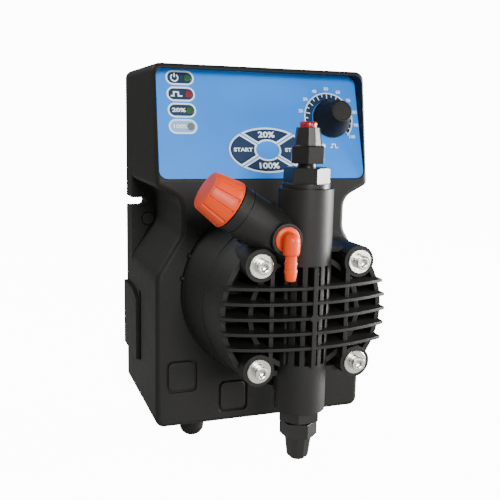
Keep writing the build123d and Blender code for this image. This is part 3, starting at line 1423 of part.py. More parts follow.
with BuildPart() as gland_seal:
    turn(
        gland_profile,
        GLAND_AXIS,
        (GLAND_BORE_R, -GLAND_BODY_END),
        (GLAND_THREAD_R - RECESS_GAP, -GLAND_BODY_END),
        (GLAND_THREAD_R - RECESS_GAP, nut_seat + FIT_GAP),
        (GLAND_BORE_R, nut_seat + FIT_GAP),
    )

with BuildPart() as gland_locknut:
    with BuildSketch(Plane.XY.offset(CASE_FOOT + WALL)):
        with Locations((gland_spot[0], -gland_spot[1])):
            RegularPolygon(LOCKNUT[0] / 2, 6, major_radius=False)
            Circle(GLAND_THREAD_R + FIT_GAP, mode=Mode.SUBTRACT)
    extrude(amount=LOCKNUT[1])

pieces = {
    "casing": casing,
    "rear_cover": rear_cover,
    "cover_gasket": cover_gasket,
    "cover_screws": cover_screws,
    "panel_film": panel_film,
    **lenses,
    **keys,
    "key_switches": key_switches,
    "rate_knob": rate_knob,
    "pot_body": pot_body,
    "pot_shaft": pot_shaft,
    "control_board": control_board,
    "board_screws": board_screws,
    "transformer": transformer,
    "capacitor": capacitor,
    "terminal_block": terminal_block,
    "solenoid_housing": solenoid_housing,
    "coil_bobbin": coil_bobbin,
    "solenoid_coil": solenoid_coil,
    "pole_plate": pole_plate,
    "armature": armature,
    "drive_shaft": drive_shaft,
    "return_spring": return_spring,
    "shaft_bush": shaft_bush,
    "adapter_ring": adapter_ring,
    "back_plate": back_plate,
    "diaphragm": diaphragm,
    "diaphragm_insert": diaphragm_insert,
    "pump_head": pump_head,
    "head_washers": head_washers,
    "head_screws": head_screws,
    "discharge_valve": discharge_valve,
    "suction_valve": suction_valve,
    "discharge_ball": discharge_ball,
    "suction_ball": suction_ball,
    "valve_seals": valve_seals,
    "discharge_connector": discharge_connector,
    "suction_connector": suction_connector,
    "discharge_nut": discharge_nut,
    "suction_nut": suction_nut,
    "discharge_nipple": discharge_nipple,
    "suction_nipple": suction_nipple,
    "discharge_collet": discharge_collet,
    "suction_collet": suction_collet,
    "vent_stem": vent_stem,
    "vent_seal": vent_seal,
    "vent_knob": vent_knob,
    "vent_elbow": vent_elbow,
    "elbow_ring": elbow_ring,
    **blanking_caps,
    "gland_body": gland_body,
    "gland_nut": gland_nut,
    "gland_seal": gland_seal,
    "gland_locknut": gland_locknut,
}
os.makedirs("parts", exist_ok=True)
for name, piece in pieces.items():
    piece.part.label = name
    export_step(piece.part, f"parts/{name}.step")
    print(name, len(piece.part.solids()), round(piece.part.volume))
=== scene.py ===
import json
from math import acos, atan2, cos, hypot, pi, radians, sin

import bmesh
import bpy
from mathutils import Matrix, Vector


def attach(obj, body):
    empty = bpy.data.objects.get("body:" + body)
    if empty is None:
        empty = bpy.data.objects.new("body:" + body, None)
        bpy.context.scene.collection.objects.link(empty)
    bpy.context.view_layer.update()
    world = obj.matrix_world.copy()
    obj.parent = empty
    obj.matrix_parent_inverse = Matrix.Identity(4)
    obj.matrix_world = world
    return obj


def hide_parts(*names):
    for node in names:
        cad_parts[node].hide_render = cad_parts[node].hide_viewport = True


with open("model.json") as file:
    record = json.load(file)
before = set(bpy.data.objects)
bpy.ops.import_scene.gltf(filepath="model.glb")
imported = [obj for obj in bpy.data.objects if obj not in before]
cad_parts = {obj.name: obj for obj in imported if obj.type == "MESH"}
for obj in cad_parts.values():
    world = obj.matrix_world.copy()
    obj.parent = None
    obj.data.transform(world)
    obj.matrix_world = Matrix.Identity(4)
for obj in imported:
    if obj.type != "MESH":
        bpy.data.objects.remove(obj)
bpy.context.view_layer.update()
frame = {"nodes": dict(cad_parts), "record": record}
cadNodes = frame["nodes"]
mm = 0.001
print("frame loaded:", len(cadNodes), "nodes")


# Where the pump's pieces sit, in millimetres. Local Z runs out along each piece's own axis.
layout = {
    "panelTilt": radians(17.7),  # leaning back from upright
    "panelFoot": (0, -86.4, 61.9),
    "filmTop": 0.6,
    "ventRise": radians(32.2),
    "columnDepth": 140.7,
    "ventHeight": 29.6,
    "headFace": 150.0,
    "screwSpacing": 52.0,
}


def placeOn(origin, zAxis, xAxis):
    zAxis = Vector(zAxis).normalized()
    xAxis = Vector(xAxis).normalized()
    yAxis = zAxis.cross(xAxis)
    turn = Matrix((xAxis, yAxis, zAxis)).transposed().to_4x4()
    return Matrix.Translation(Vector(origin) * mm) @ turn @ Matrix.Scale(mm, 4)


tilt = layout["panelTilt"]
rise = layout["ventRise"]
panelPlace = placeOn(layout["panelFoot"], (0, -cos(tilt), sin(tilt)), (1, 0, 0))
pumpPlace = placeOn((0, 0, 0), (0, -1, 0), (1, 0, 0))
ventAt = (0, -layout["columnDepth"], layout["ventHeight"])
ventPlace = placeOn(ventAt, (-cos(rise), 0, sin(rise)), (0, -1, 0))


# Materials
finishes = {}


def startMaterial(name, colour, roughness, metallic=0.0, gloss=0.5):
    material = bpy.data.materials.new(name)
    material.use_nodes = True
    shader = material.node_tree.nodes["Principled BSDF"]
    shader.inputs["Base Color"].default_value = (*colour, 1)
    shader.inputs["Roughness"].default_value = roughness
    shader.inputs["Metallic"].default_value = metallic
    shader.inputs["Specular IOR Level"].default_value = gloss
    return material, material.node_tree, shader


def addNoise(tree, scale, detail, stretch=(1, 1, 1)):
    coordinates = tree.nodes.new("ShaderNodeTexCoord")
    mapping = tree.nodes.new("ShaderNodeMapping")
    mapping.inputs["Scale"].default_value = stretch
    noise = tree.nodes.new("ShaderNodeTexNoise")
    noise.inputs["Scale"].default_value = scale
    noise.inputs["Detail"].default_value = detail
    tree.links.new(coordinates.outputs["Object"], mapping.inputs["Vector"])
    tree.links.new(mapping.outputs["Vector"], noise.inputs["Vector"])
    return noise


def varyColour(tree, shader, colour, spread, scale):
    # patches a little darker and lighter than the colour
    noise = addNoise(tree, scale, 4.0)
    ramp = tree.nodes.new("ShaderNodeValToRGB")
    for stop, position, share in zip(ramp.color_ramp.elements, (0.3, 0.7), (1 - spread, 1 + spread)):
        stop.position = position
        stop.color = (*(channel * share for channel in colour), 1)
    tree.links.new(noise.outputs["Fac"], ramp.inputs["Fac"])
    tree.links.new(ramp.outputs["Color"], shader.inputs["Base Color"])


def varyRoughness(tree, shader, roughness, spread, scale, stretch=(1, 1, 1)):
    noise = addNoise(tree, scale, 3.0, stretch)
    span = tree.nodes.new("ShaderNodeMapRange")
    span.inputs["From Min"].default_value = 0.25
    span.inputs["From Max"].default_value = 0.75
    span.inputs["To Min"].default_value = roughness - spread
    span.inputs["To Max"].default_value = roughness + spread
    tree.links.new(noise.outputs["Fac"], span.inputs["Value"])
    tree.links.new(span.outputs["Result"], shader.inputs["Roughness"])


def addRelief(tree, shader, scale, depth, stretch=(1, 1, 1), edge=0.0):
    # fine grain, with sharp edges seen as rounded to the radius edge; both in metres
    noise = addNoise(tree, scale, 2.0, stretch)
    bump = tree.nodes.new("ShaderNodeBump")
    bump.inputs["Distance"].default_value = depth
    tree.links.new(noise.outputs["Fac"], bump.inputs["Height"])
    if edge:
        rounded = tree.nodes.new("ShaderNodeBevel")
        rounded.samples = 6
        rounded.inputs["Radius"].default_value = edge
        tree.links.new(rounded.outputs["Normal"], bump.inputs["Normal"])
    tree.links.new(bump.outputs["Normal"], shader.inputs["Normal"])


def plastic(name, colour, roughness, grain=2600, relief=0.00002, spread=0.08, edge=0.0, gloss=0.5):
    finishes[name], tree, shader = startMaterial(name, colour, roughness, gloss=gloss)
    varyColour(tree, shader, colour, spread, scale=60)
    varyRoughness(tree, shader, roughness, spread=0.025, scale=90)
    addRelief(tree, shader, grain, relief, edge=edge)


def metal(name, colour, roughness, grain, relief, stretch=(1, 1, 1), edge=0.0):
    finishes[name], tree, shader = startMaterial(name, colour, roughness, metallic=1.0)
    varyColour(tree, shader, colour, spread=0.06, scale=300)
    varyRoughness(tree, shader, roughness, spread=0.09, scale=500, stretch=stretch)
    addRelief(tree, shader, grain, relief, stretch, edge)


# name, colour, roughness, grain, relief, spread of the colour
plastic("casePlastic", (0.0115, 0.0113, 0.0095), 0.56, 2300, 0.00003, 0.05, edge=0.0005, gloss=0.25)
plastic("headPlastic", (0.0115, 0.0113, 0.0094), 0.48, 1900, 0.00002, 0.05, edge=0.0003, gloss=0.33)
plastic("fittingPlastic", (0.0125, 0.0122, 0.0102), 0.34, 1500, 0.000012, edge=0.0004, gloss=0.45)
plastic("knobPlastic", (0.009, 0.0085, 0.0075), 0.5, 3200, 0.00002, gloss=0.25)
plastic("valvePlastic", (0.08, 0.08, 0.08), 0.45)
plastic("labelFilm", (0.02, 0.235, 0.82), 0.4, 5200, 0.000004, 0.025, gloss=0.2)
plastic("keyFilm", (0.009, 0.028, 0.075), 0.4, 5200, 0.000004, 0.04, gloss=0.2)
plastic("whiteInk", (0.76, 0.9, 0.98), 0.4, 5200, 0.000003, 0.02)
plastic("paleInk", (0.2, 0.42, 0.68), 0.4, 5200, 0.000003, 0.03)
plastic("greenLens", (0.025, 0.095, 0.032), 0.22, 900, 0.00001, 0.15)
plastic("redLens", (0.22, 0.02, 0.035), 0.22, 900, 0.00001, 0.15)
plastic("clearLens", (0.13, 0.17, 0.19), 0.22, 900, 0.00001, 0.1)
plastic("orangePlastic", (0.8, 0.062, 0.002), 0.42, 1300, 0.00002, 0.05, gloss=0.4)
plastic("redPlastic", (0.3, 0.008, 0.02), 0.3, 1500, 0.00001, 0.08)
# painted shade: a darker copy of the collets' red plastic, standing in for the shadow on the suction collet
plastic("paintedShadeRed", (0.07, 0.012, 0.008), 0.4, 1500, 0.00001, 0.1)
plastic("blackRubber", (0.012, 0.012, 0.012), 0.6, 1800, 0.00003)
plastic("whiteRubber", (0.7, 0.7, 0.67), 0.5, 1500, 0.00002)
plastic("boardGreen", (0.02, 0.16, 0.06), 0.35, 400, 0.00003, 0.2)
plastic("pottedBlue", (0.03, 0.04, 0.07), 0.4)
plastic("sleeveBlack", (0.015, 0.02, 0.07), 0.25)
plastic("terminalGreen", (0.07, 0.32, 0.12), 0.45)
plastic("naturalNylon", (0.66, 0.63, 0.53), 0.5)
plastic("ceramicWhite", (0.84, 0.82, 0.76), 0.12, 900, 0.000004, 0.03)
metal("stainless", (0.76, 0.755, 0.68), 0.25, 4200, 0.000003, edge=0.00015)
metal("platedSteel", (0.62, 0.61, 0.57), 0.34, 2600, 0.000006)
metal("copperWire", (0.62, 0.28, 0.13), 0.3, 2400, 0.00006, (0.05, 1, 0.05))
metal("bronze", (0.5, 0.34, 0.15), 0.42, 1800, 0.00001)

slotFinishes = {
    "case_plastic": "casePlastic",
    "head_plastic": "headPlastic",
    "label_film": "labelFilm",
    "key_film": "keyFilm",
    "lens_green": "greenLens",
    "lens_red": "redLens",
    "lens_clear": "clearLens",
    "knob_plastic": "knobPlastic",
    "circuit_board": "boardGreen",
    "switch_plastic": "valvePlastic",
    "plated_steel": "platedSteel",
    "stainless": "stainless",
    "potted_case": "pottedBlue",
    "capacitor_sleeve": "sleeveBlack",
    "terminal_plastic": "terminalGreen",
    "copper_wire": "copperWire",
    "bobbin_plastic": "naturalNylon",
    "bronze": "bronze",
    "diaphragm_face": "whiteRubber",
    "seal_rubber": "blackRubber",
    "valve_plastic": "valvePlastic",
    "ceramic": "ceramicWhite",
    "fitting_plastic": "fittingPlastic",
    "collet_plastic": "redPlastic",
    "vent_plastic": "orangePlastic",
}
for part in frame["record"]["subparts"]:  # every CAD node takes its slot's finish
    mesh = cadNodes[part["node"]].data
    mesh.materials.clear()
    mesh.materials.append(finishes[slotFinishes[part["material_slot"]]])
print("materials ready:", len(finishes))


# Making pieces
mergeDistance = 0.0005  # millimetres


def meshFrom(name, bm):
    bmesh.ops.recalc_face_normals(bm, faces=bm.faces)
    mesh = bpy.data.meshes.new(name)
    bm.to_mesh(mesh)
    bm.free()
    return mesh


def finishPiece(name, bm, place, finish, body, replaced=(), smooth=40):
    # bm stands on its own axis in millimetres, and place takes it to the pump in metres
    bmesh.ops.remove_doubles(bm, verts=bm.verts, dist=mergeDistance)
    bmesh.ops.transform(bm, matrix=place, verts=bm.verts)
    finishMesh(name, meshFrom(name, bm), finish, body, replaced, smooth)


def finishMesh(name, mesh, finish, body, replaced, smooth):
    mesh.materials.clear()
    mesh.materials.append(finishes[finish])
    mesh.shade_smooth()
    mesh.set_sharp_from_angle(angle=radians(smooth))
    piece = bpy.data.objects.new(name, mesh)
    bpy.context.scene.collection.objects.link(piece)
    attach(piece, body)
    if replaced:
        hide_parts(*replaced)


def joinMesh(bm, mesh, place):
    # adds the mesh to bm and removes it
    mesh.transform(place)
    bm.from_mesh(mesh)
    bpy.data.meshes.remove(mesh)


def joinCopies(bm, source, places):
    # adds source to bm once at each place, and frees it
    for place in places:
        mesh = bpy.data.meshes.new("copy")
        source.to_mesh(mesh)
        joinMesh(bm, mesh, place)
    source.free()


def lathe(bm, profile, steps):
    # outline of (radius, height) spun about local Z, left open where both its ends lie on the axis
    verts = [bm.verts.new((radius, 0, height)) for radius, height in profile]
    first = 1 if profile[0][0] == profile[-1][0] == 0 else 0
    edges = [bm.edges.new((verts[i - 1], verts[i])) for i in range(first, len(verts))]
    bmesh.ops.spin(
        bm, geom=verts + edges, cent=(0, 0, 0), axis=(0, 0, 1), angle=2 * pi, steps=steps,
        use_merge=True,
    )


def polar(vert):
    return hypot(vert.co.x, vert.co.y), atan2(vert.co.y, vert.co.x)


def pullIn(vert, radius, depth):
    # moves a vertex at this radius towards the axis by depth
    vert.co.x *= 1 - depth / radius
    vert.co.y *= 1 - depth / radius


# Head screws and washers
washer = {
    "outer": 6.1,
    "bore": 2.25,
    "thick": 1.0,
    "edge": 0.2,
    "topEdge": 0.3,
    "boreEdge": 0.15,
    "steps": 72,
}
screw = {
    "headR": 3.5,
    "headLength": 4.0,
    "shankR": 2.0,
    "shankLength": 3.0,
    "socket": 3.0,  # across flats
    "socketR": 1.6,
    "socketDepth": 2.2,
    "socketPoint": 0.9,
    "rimR": 1.95,
    "knurls": 36,
    "knurlLength": 3.0,
    "knurlDepth": 0.05,
}
half = layout["screwSpacing"] / 2
screwPlaces = [
    Matrix.Translation((x, z, layout["headFace"])) for x in (-half, half) for z in (-half, half)
]


def makeHeadScrews(sizes):
    one = bmesh.new()
    foot = washer["thick"]
    top = foot + sizes["headLength"]
    headR, socketR, shankR = sizes["headR"], sizes["socketR"], sizes["shankR"]
    bottom, neckR = top - sizes["socketDepth"], headR - 0.12
    lathe(
        one,
        [
            (0, bottom - sizes["socketPoint"]), (socketR + 0.01, bottom), (socketR, top - 0.25),
            (sizes["rimR"], top), (headR - 0.35, top), (headR - 0.08, top - 0.12), (headR, top - 0.45),
            (headR, top - sizes["knurlLength"]), (neckR, top - sizes["knurlLength"] - 0.1),
            (neckR, foot + 0.1), (headR - 0.3, foot), (shankR, foot),
            (shankR, -sizes["shankLength"]), (0, -sizes["shankLength"]),
        ],
        2 * sizes["knurls"],
    )
    for vert in one.verts:
        radius, angle = polar(vert)
        if abs(radius - socketR) < 0.02:  # the socket's wall becomes a hexagon
            offset = (angle + pi / 6) % (pi / 3) - pi / 6
            pullIn(vert, radius, radius - sizes["socket"] / 2 / cos(offset))
        elif abs(radius - headR) < 0.01 and round(angle / (pi / sizes["knurls"])) % 2:
            pullIn(vert, headR, sizes["knurlDepth"])
    bm = bmesh.new()
    joinCopies(bm, one, screwPlaces)
    finishPiece("headScrews", bm, pumpPlace, "stainless", "pump", ("head_screws",), 35)


def makeWashers(sizes):
    one = bmesh.new()
    outer, bore, thick = sizes["outer"], sizes["bore"], sizes["thick"]
    lathe(
        one,
        [
            (bore, 0), (outer - sizes["edge"], 0), (outer, sizes["edge"]),
            (outer, thick - sizes["topEdge"]), (outer - sizes["topEdge"], thick),
            (bore + sizes["boreEdge"], thick), (bore, thick - sizes["boreEdge"]),
        ],
        sizes["steps"],
    )
    bm = bmesh.new()
    joinCopies(bm, one, screwPlaces)
    finishPiece("headWashers", bm, pumpPlace, "stainless", "pump", ("head_washers",), 35)


makeHeadScrews(screw)
makeWashers(washer)
print("screws made")


# Knobs, spout and hose grips
rateKnob = {
    "centre": (42.9, 35.4),
    "foot": 1.0,
    "top": 15.7,
    "skirtR": 11.3,
    "skirtTop": 4.0,
    "bodyR": 10.6,
    "capR": 6.15,
    "boreR": 3.05,
    "boreRoof": 3.0,
    "hubR": 4.6,
    "hollow": 5,
    "hollowR": 7.8,
    "wall": 1.6,
    "steps": 96,
}


def makeRateKnob(sizes):
    bm = bmesh.new()
    foot, top = sizes["foot"], sizes["top"]
    skirtR, bodyR, capR, skirtTop = sizes["skirtR"], sizes["bodyR"], sizes["capR"], sizes["skirtTop"]
    roof = top - sizes["boreRoof"]
    lathe(
        bm,
        [
            (0, roof), (sizes["boreR"], roof), (sizes["boreR"], foot), (sizes["hubR"], foot),
            (sizes["hubR"], foot + sizes["hollow"]), (sizes["hollowR"], foot + sizes["hollow"]),
            (skirtR - sizes["wall"], foot + 2), (skirtR - sizes["wall"], foot), (skirtR - 0.25, foot),
            (skirtR, foot + 0.25), (skirtR, skirtTop - 0.4), (skirtR - 0.15, skirtTop - 0.12),
            (bodyR + 0.3, skirtTop + 0.1), (bodyR, skirtTop + 0.5), (bodyR - 0.5, skirtTop + 1.6),
            (capR + 0.55, top - 1.5), (capR + 0.28, top - 0.6), (capR, top - 0.2), (capR - 0.35, top),
            (capR - 0.75, top - 0.02), (capR - 0.85, top - 0.22), (capR - 0.98, top - 0.22),
            (capR - 1.08, top - 0.02), (capR - 2.5, top + 0.04), (0, top + 0.1),
        ],
        sizes["steps"],
    )
    place = panelPlace @ Matrix.Translation((*sizes["centre"], 0))
    finishPiece("rateKnob", bm, place, "knobPlastic", "rate_dial", ("rate_knob",), 50)


ventKnob = {
    "start": 46.0,
    "length": 14.5,
    "rim": 1.0,
    "radii": (12.1, 9.7),
    "boreR": 4.05,
    "boreEnd": 57.6,
    "hubR": 5.8,
    "hollow": 7,
    "wall": 1.8,
    "flutes": 12,
    "grooveDepth": 0.85,
    "grooveHalf": 0.13,  # of a flute's width
}


def makeVentKnob(sizes):
    bm = bmesh.new()
    start, end, rim = sizes["start"], sizes["start"] + sizes["length"], sizes["rim"]
    bigR, smallR = sizes["radii"]
    hollowR, hollowEnd = smallR - sizes["wall"], start + sizes["hollow"]
    slope = (smallR - bigR) / (end - start - rim)
    climbs = (rim + 0.35, 3.5, 6, 8.5, 11, 13.6)  # rings that let the grooves run out smoothly
    sides = [(bigR + slope * (climb - rim), start + climb) for climb in climbs]
    lathe(
        bm,
        [
            (0, sizes["boreEnd"]), (sizes["boreR"], sizes["boreEnd"]), (sizes["boreR"], start),
            (sizes["hubR"], start), (sizes["hubR"], hollowEnd), (hollowR, hollowEnd), (hollowR, start),
            (bigR - 0.3, start), (bigR, start + 0.25), (bigR, start + rim - 0.25), (bigR - 0.2, start + rim),
            *sides,
            (smallR - 0.05, end - 0.55), (smallR - 0.3, end - 0.18), (smallR - 0.8, end),
            (smallR - 3.0, end + 0.06), (0, end + 0.1),
        ],
        sizes["flutes"] * 14,
    )
    for vert in bm.verts:  # narrow grooves between broad lands, run out before the end face
        radius, angle = polar(vert)
        if radius > smallR - 0.5 and start + rim + 0.3 < vert.co.z < end - 0.3:
            across = abs(angle * sizes["flutes"] / (2 * pi) % 1 - 0.5) / sizes["grooveHalf"]
            pullIn(vert, radius, sizes["grooveDepth"] * max(0, min(1, 2.2 - 2 * across)))
    finishPiece("ventKnob", bm, ventPlace, "orangePlastic", "vent_handle", ("vent_knob",), 32)


ventElbow = {
    "out": 17.5,  # from the column's axis, along the vent's
    "face": 154.1,
    "reach": 5.1,
    "boreR": 1.6,
    "plugR": 4.0,
    "plugLength": 5,
    "discR": 6.2,
    "neckR": 4.1,
    "shoulder": 6.4,
    "barbR": 2.8,
    "barbRise": 0.32,
    "drop": 18.7,
    "steps": 48,
}


def makeVentElbow(sizes):
    boreR, plugR, neckR, discR = sizes["boreR"], sizes["plugR"], sizes["neckR"], sizes["discR"]
    face, back, bend = sizes["face"], sizes["face"] - sizes["plugLength"], sizes["face"] + sizes["reach"]
    axisX = -sizes["out"] * cos(rise)
    axisZ = layout["ventHeight"] + sizes["out"] * sin(rise)
    neck = bmesh.new()
    lathe(
        neck,
        [
            (boreR, back), (plugR - 0.1, back), (plugR, back + 0.1), (plugR, face), (discR - 0.15, face),
            (discR, face + 0.15), (discR, face + 0.85), (discR - 0.3, face + 1.2), (neckR + 0.7, face + 1.32),
            (neckR + 0.15, face + 1.6), (neckR, face + 2.2), (neckR, bend), (boreR, bend),
        ],
        sizes["steps"],
    )
    ball = bmesh.new()
    bmesh.ops.create_uvsphere(ball, u_segments=sizes["steps"], v_segments=32, radius=neckR)
    spout = bmesh.new()
    shoulder, barbR, drop = sizes["shoulder"], sizes["barbR"], sizes["drop"]
    crestR = barbR + sizes["barbRise"]
    lathe(
        spout,
        [
            (boreR, 1.0), (neckR, 0), (neckR - 0.02, shoulder - 1.6), (neckR - 0.25, shoulder - 0.25),
            (neckR - 0.5, shoulder), (barbR + 0.15, shoulder + 0.05), (barbR, shoulder + 0.35),
            (barbR, 0.52 * drop), (crestR - 0.05, 0.53 * drop), (crestR, 0.55 * drop),
            (barbR, 0.66 * drop), (barbR, 0.71 * drop), (crestR - 0.05, 0.72 * drop),
            (crestR, 0.74 * drop), (barbR - 0.05, 0.9 * drop), (barbR - 0.3, drop - 0.3),
            (barbR - 0.55, drop), (boreR + 0.1, drop), (boreR, drop - 0.15),
        ],
        sizes["steps"],
    )
    bm = bmesh.new()
    ahead = placeOn((axisX, 0, axisZ), (0, -1, 0), (1, 0, 0))
    down = placeOn((axisX, -bend, axisZ), (0, 0, -1), (1, 0, 0))
    for source, place in ((neck, ahead), (ball, down), (spout, down)):
        joinCopies(bm, source, [place])
    mesh = meshFrom("ventElbow", bm)
    finishMesh("ventElbow", mesh, "orangePlastic", "vent_spout", ("vent_elbow",), 50)


collet = {
    "outer": 4.15,
    "inner": 3.1,
    "sleeve": 6.0,
    "sleeveWall": 0.5,
    "lobes": 6,
    "dent": 0.55,
    "steps": 96,
}


def makeCollet(name, start, tip, way, finish, replaced, sizes):
    bm = bmesh.new()
    outer, inner, sleeve = sizes["outer"], sizes["inner"], sizes["sleeve"]
    sleeveR = inner + sizes["sleeveWall"]
    lathe(
        bm,
        [
            (inner, -sleeve), (sleeveR, -sleeve), (sleeveR, 0), (outer, 0.02), (outer + 0.05, 0.3),
            (outer, tip - 0.9), (outer - 0.12, tip - 0.45), (outer - 0.38, tip - 0.12),
            (outer - 0.65, tip), (inner + 0.15, tip), (inner, tip - 0.15),
        ],
        sizes["steps"],
    )
    for vert in bm.verts:  # dents between the lobes of the grip
        radius, angle = polar(vert)
        if radius > sleeveR + 0.1 and vert.co.z > 0.25:
            share = abs(angle * sizes["lobes"] / (2 * pi) % 1 - 0.5) * 2
            dent = sizes["dent"] * max(0, 1 - (share / 0.5) ** 2)
            pullIn(vert, radius, dent)
            if vert.co.z > tip - 1:
                vert.co.z -= dent * 0.5
    place = placeOn((0, -layout["columnDepth"], start), (0, 0, way), (1, 0, 0))
    finishPiece(name, bm, place, finish, "pump", (replaced,))


makeRateKnob(rateKnob)
makeVentKnob(ventKnob)
makeVentElbow(ventElbow)
makeCollet("dischargeCollet", 91.1, 2.8, 1, "redPlastic", "discharge_collet", collet)
# the suction collet takes the red darkened with painted shade
makeCollet("suctionCollet", -76.5, 1.8, -1, "paintedShadeRed", "suction_collet", collet)
print("knobs, spout and hose grips made")


# Printed shapes on the panel, as thin flat ink at two heights above the film
ink = {"thickness": 0.03, "low": 0.03, "high": 0.06, "boldness": 0.045, "capsToSize": 1.38}


def pointAt(centre, radii, angle):
    return centre[0] + radii[0] * cos(angle), centre[1] + radii[1] * sin(angle)


def arcPoints(centre, radius, start, end, steps):
    angles = [radians(start + (end - start) * i / steps) for i in range(steps + 1)]
    return [pointAt(centre, (radius, radius), angle) for angle in angles]


def circlePoints(centre, radius):
    return arcPoints(centre, radius, 0, 345, 23)


def ringPoints(centre, outer, inner, start, end, steps):
    # part of a ring as one closed outline
    return arcPoints(centre, outer, start, end, steps) + arcPoints(centre, inner, end, start, steps)


def capsulePoints(centre, size):
    radius = size[1] / 2
    reach = size[0] / 2 - radius
    right = arcPoints((centre[0] + reach, centre[1]), radius, -90, 90, 24)
    left = arcPoints((centre[0] - reach, centre[1]), radius, 90, 270, 24)
    return right + left


def barPoints(start, end, width):
    first, last = Vector(start), Vector(end)
    along = (last - first).normalized()
    side = Vector((-along.y, along.x)) * width / 2
    return [tuple(first + side), tuple(first - side), tuple(last - side), tuple(last + side)]


def pulsePoints(centre, width, height, line):
    # a square pulse drawn as one closed stroke
    x, y = centre
    left, right = x - width / 2, x + width / 2
    inLeft, inRight = x - width * 0.18, x + width * 0.22
    low, high = y - height / 2, y + height / 2
    return [
        (left, low), (inLeft, low), (inLeft, high - line), (inRight - line, high - line),
        (inRight - line, low), (right, low), (right, low + line), (inRight, low + line),
        (inRight, high), (inLeft - line, high), (inLeft - line, low + line), (left, low + line),
    ]


def joinCurve(bm, curve, place):
    # adds the filled mesh of a curve or a text to bm
    holder = bpy.data.objects.new("holder", curve)
    bpy.context.scene.collection.objects.link(holder)
    bpy.context.view_layer.update()
    mesh = bpy.data.meshes.new_from_object(holder)
    bpy.data.objects.remove(holder)
    joinMesh(bm, mesh, place)


def printShapes(name, loops, height, finish):
    # each closed loop fills, and a loop inside another cuts a hole in it
    curve = bpy.data.curves.new(name, "CURVE")
    curve.dimensions = "2D"
    curve.fill_mode = "BOTH"
    curve.extrude = ink["thickness"] / 2
    for loop in loops:
        spline = curve.splines.new("POLY")
        spline.points.add(len(loop) - 1)
        for point, (x, y) in zip(spline.points, loop):
            point.co = (x, y, 0, 1)
        spline.use_cyclic_u = True
    bm = bmesh.new()
    joinCurve(bm, curve, Matrix.Translation((0, 0, layout["filmTop"] + height)))
    finishPiece(name, bm, panelPlace, finish, "pump", smooth=30)


def printWords(name, words, height, body="pump"):
    # words: each a text, its centre, its capitals' height and how far it is stretched, joined into one piece
    bm = bmesh.new()
    for text, (x, y), size, stretch in words:
        curve = bpy.data.curves.new(name, "FONT")
        curve.body = text
        curve.size = size * ink["capsToSize"]
        curve.align_x = "CENTER"
        curve.align_y = "CENTER"
        curve.offset = ink["boldness"] * size
        curve.extrude = ink["thickness"] / 2
        curve.resolution_u = 4
        place = Matrix.Translation((x, y, layout["filmTop"] + height))
        joinCurve(bm, curve, place @ Matrix.Diagonal((stretch, 1, 1, 1)))
    finishPiece(name, bm, panelPlace, "whiteInk", body, smooth=30)


# Four capsules down the left side, each with a sign and a lens
capsules = {
    "x": -45.9,
    "rows": (56.6, 47.4, 38.3, 29.2),
    "outer": (15.9, 8.2),
    "inner": (14.0, 6.3),
    "lensX": -41.6,
    "lensR": 2.1,
    "signX": -48.9,
}


def printCapsules(sizes):
    outlines, fields = [], []
    for row in sizes["rows"]:
        outer = capsulePoints((sizes["x"], row), sizes["outer"])
        inner = capsulePoints((sizes["x"], row), sizes["inner"])
        outlines += [outer, inner]
        fields.append([inner, circlePoints((sizes["lensX"], row), sizes["lensR"])])
    printShapes("capsuleOutlines", outlines, ink["low"], "whiteInk")
    printShapes("capsuleFields", fields[0] + fields[1] + fields[2], ink["low"], "keyFilm")
    printShapes("paleCapsule", fields[3], ink["low"], "paleInk")
    x, rows = sizes["signX"], sizes["rows"]
    powerSign = [
        ringPoints((x, rows[0]), 2.3, 1.6, 125, 415, 30),
        barPoints((x, rows[0] + 0.3), (x, rows[0] + 2.7), 0.75),
    ]
    pulseSign = pulsePoints((x + 0.6, rows[1]), 6.4, 3.0, 0.8)
    printShapes("capsuleSymbols", [*powerSign, pulseSign], ink["high"], "whiteInk")
    words = [("20%", (x + 1.3, rows[2]), 2.2, 1.5), ("100%", (x + 1.5, rows[3]), 2.2, 1.35)]
    printWords("capsuleWords", words, ink["high"])


# Four keys round a middle hole, each outlined on the film and named on its own top
keypad = {
    "centre": (2.0, 16.4),
    "half": (21.6, 11.7),
    "hole": (8.4, 6.6),
    "split": 3.4,
    "angles": (31, 149, 211, 329),
    "outline": (1.35, 0.34),  # how far out the line's two edges lie
    "stand": 0.4,  # the keys' height above the film
}


def keyPoints(sizes, startAngle, endAngle, grow):
    # one key's outline: an oval's arc, a hole's arc and two straight sides, all moved out by grow
    offset = sizes["split"] / 2 - grow

    def meet(angle, side, radii):
        # where an oval of these radii meets the straight side at this angle
        a, b = -radii[0] * sin(angle) * side, radii[1] * cos(angle) * side
        return atan2(b, a) - side * acos(offset / hypot(a, b))

    points = []
    for radii, way in ((sizes["half"], 1), (sizes["hole"], -1)):
        grown = (radii[0] + grow * way, radii[1] + grow * way)
        first = meet(radians(startAngle), 1, grown)
        sweep = (meet(radians(endAngle), -1, grown) - first) % (2 * pi)
        arc = [pointAt(sizes["centre"], grown, first + sweep * i / 30) for i in range(31)]
        points += arc[::way]
    return points


def printKeys(sizes):
    rings = []
    for i, startAngle in enumerate(sizes["angles"]):
        endAngle = sizes["angles"][(i + 1) % 4]
        rings += [keyPoints(sizes, startAngle, endAngle, grow) for grow in sizes["outline"]]
    printShapes("keyOutlines", rings, ink["low"], "whiteInk")
    x, y = sizes["centre"]
    for name, text, centre, size, body in (
        ("keyWordLow", "20%", (x - 0.4, y + 8.7), 3.3, "low_rate_key"),
        ("keyWordHigh", "100%", (x - 0.4, y - 9.1), 3.3, "high_rate_key"),
        ("keyWordStart", "START", (x - 14.7, y), 2.1, "start_key"),
        ("keyWordStop", "STOP", (x + 14.7, y), 2.1, "stop_key"),
    ):
        printWords(name, [(text, centre, size, 1.3)], sizes["stand"] + ink["low"], body)


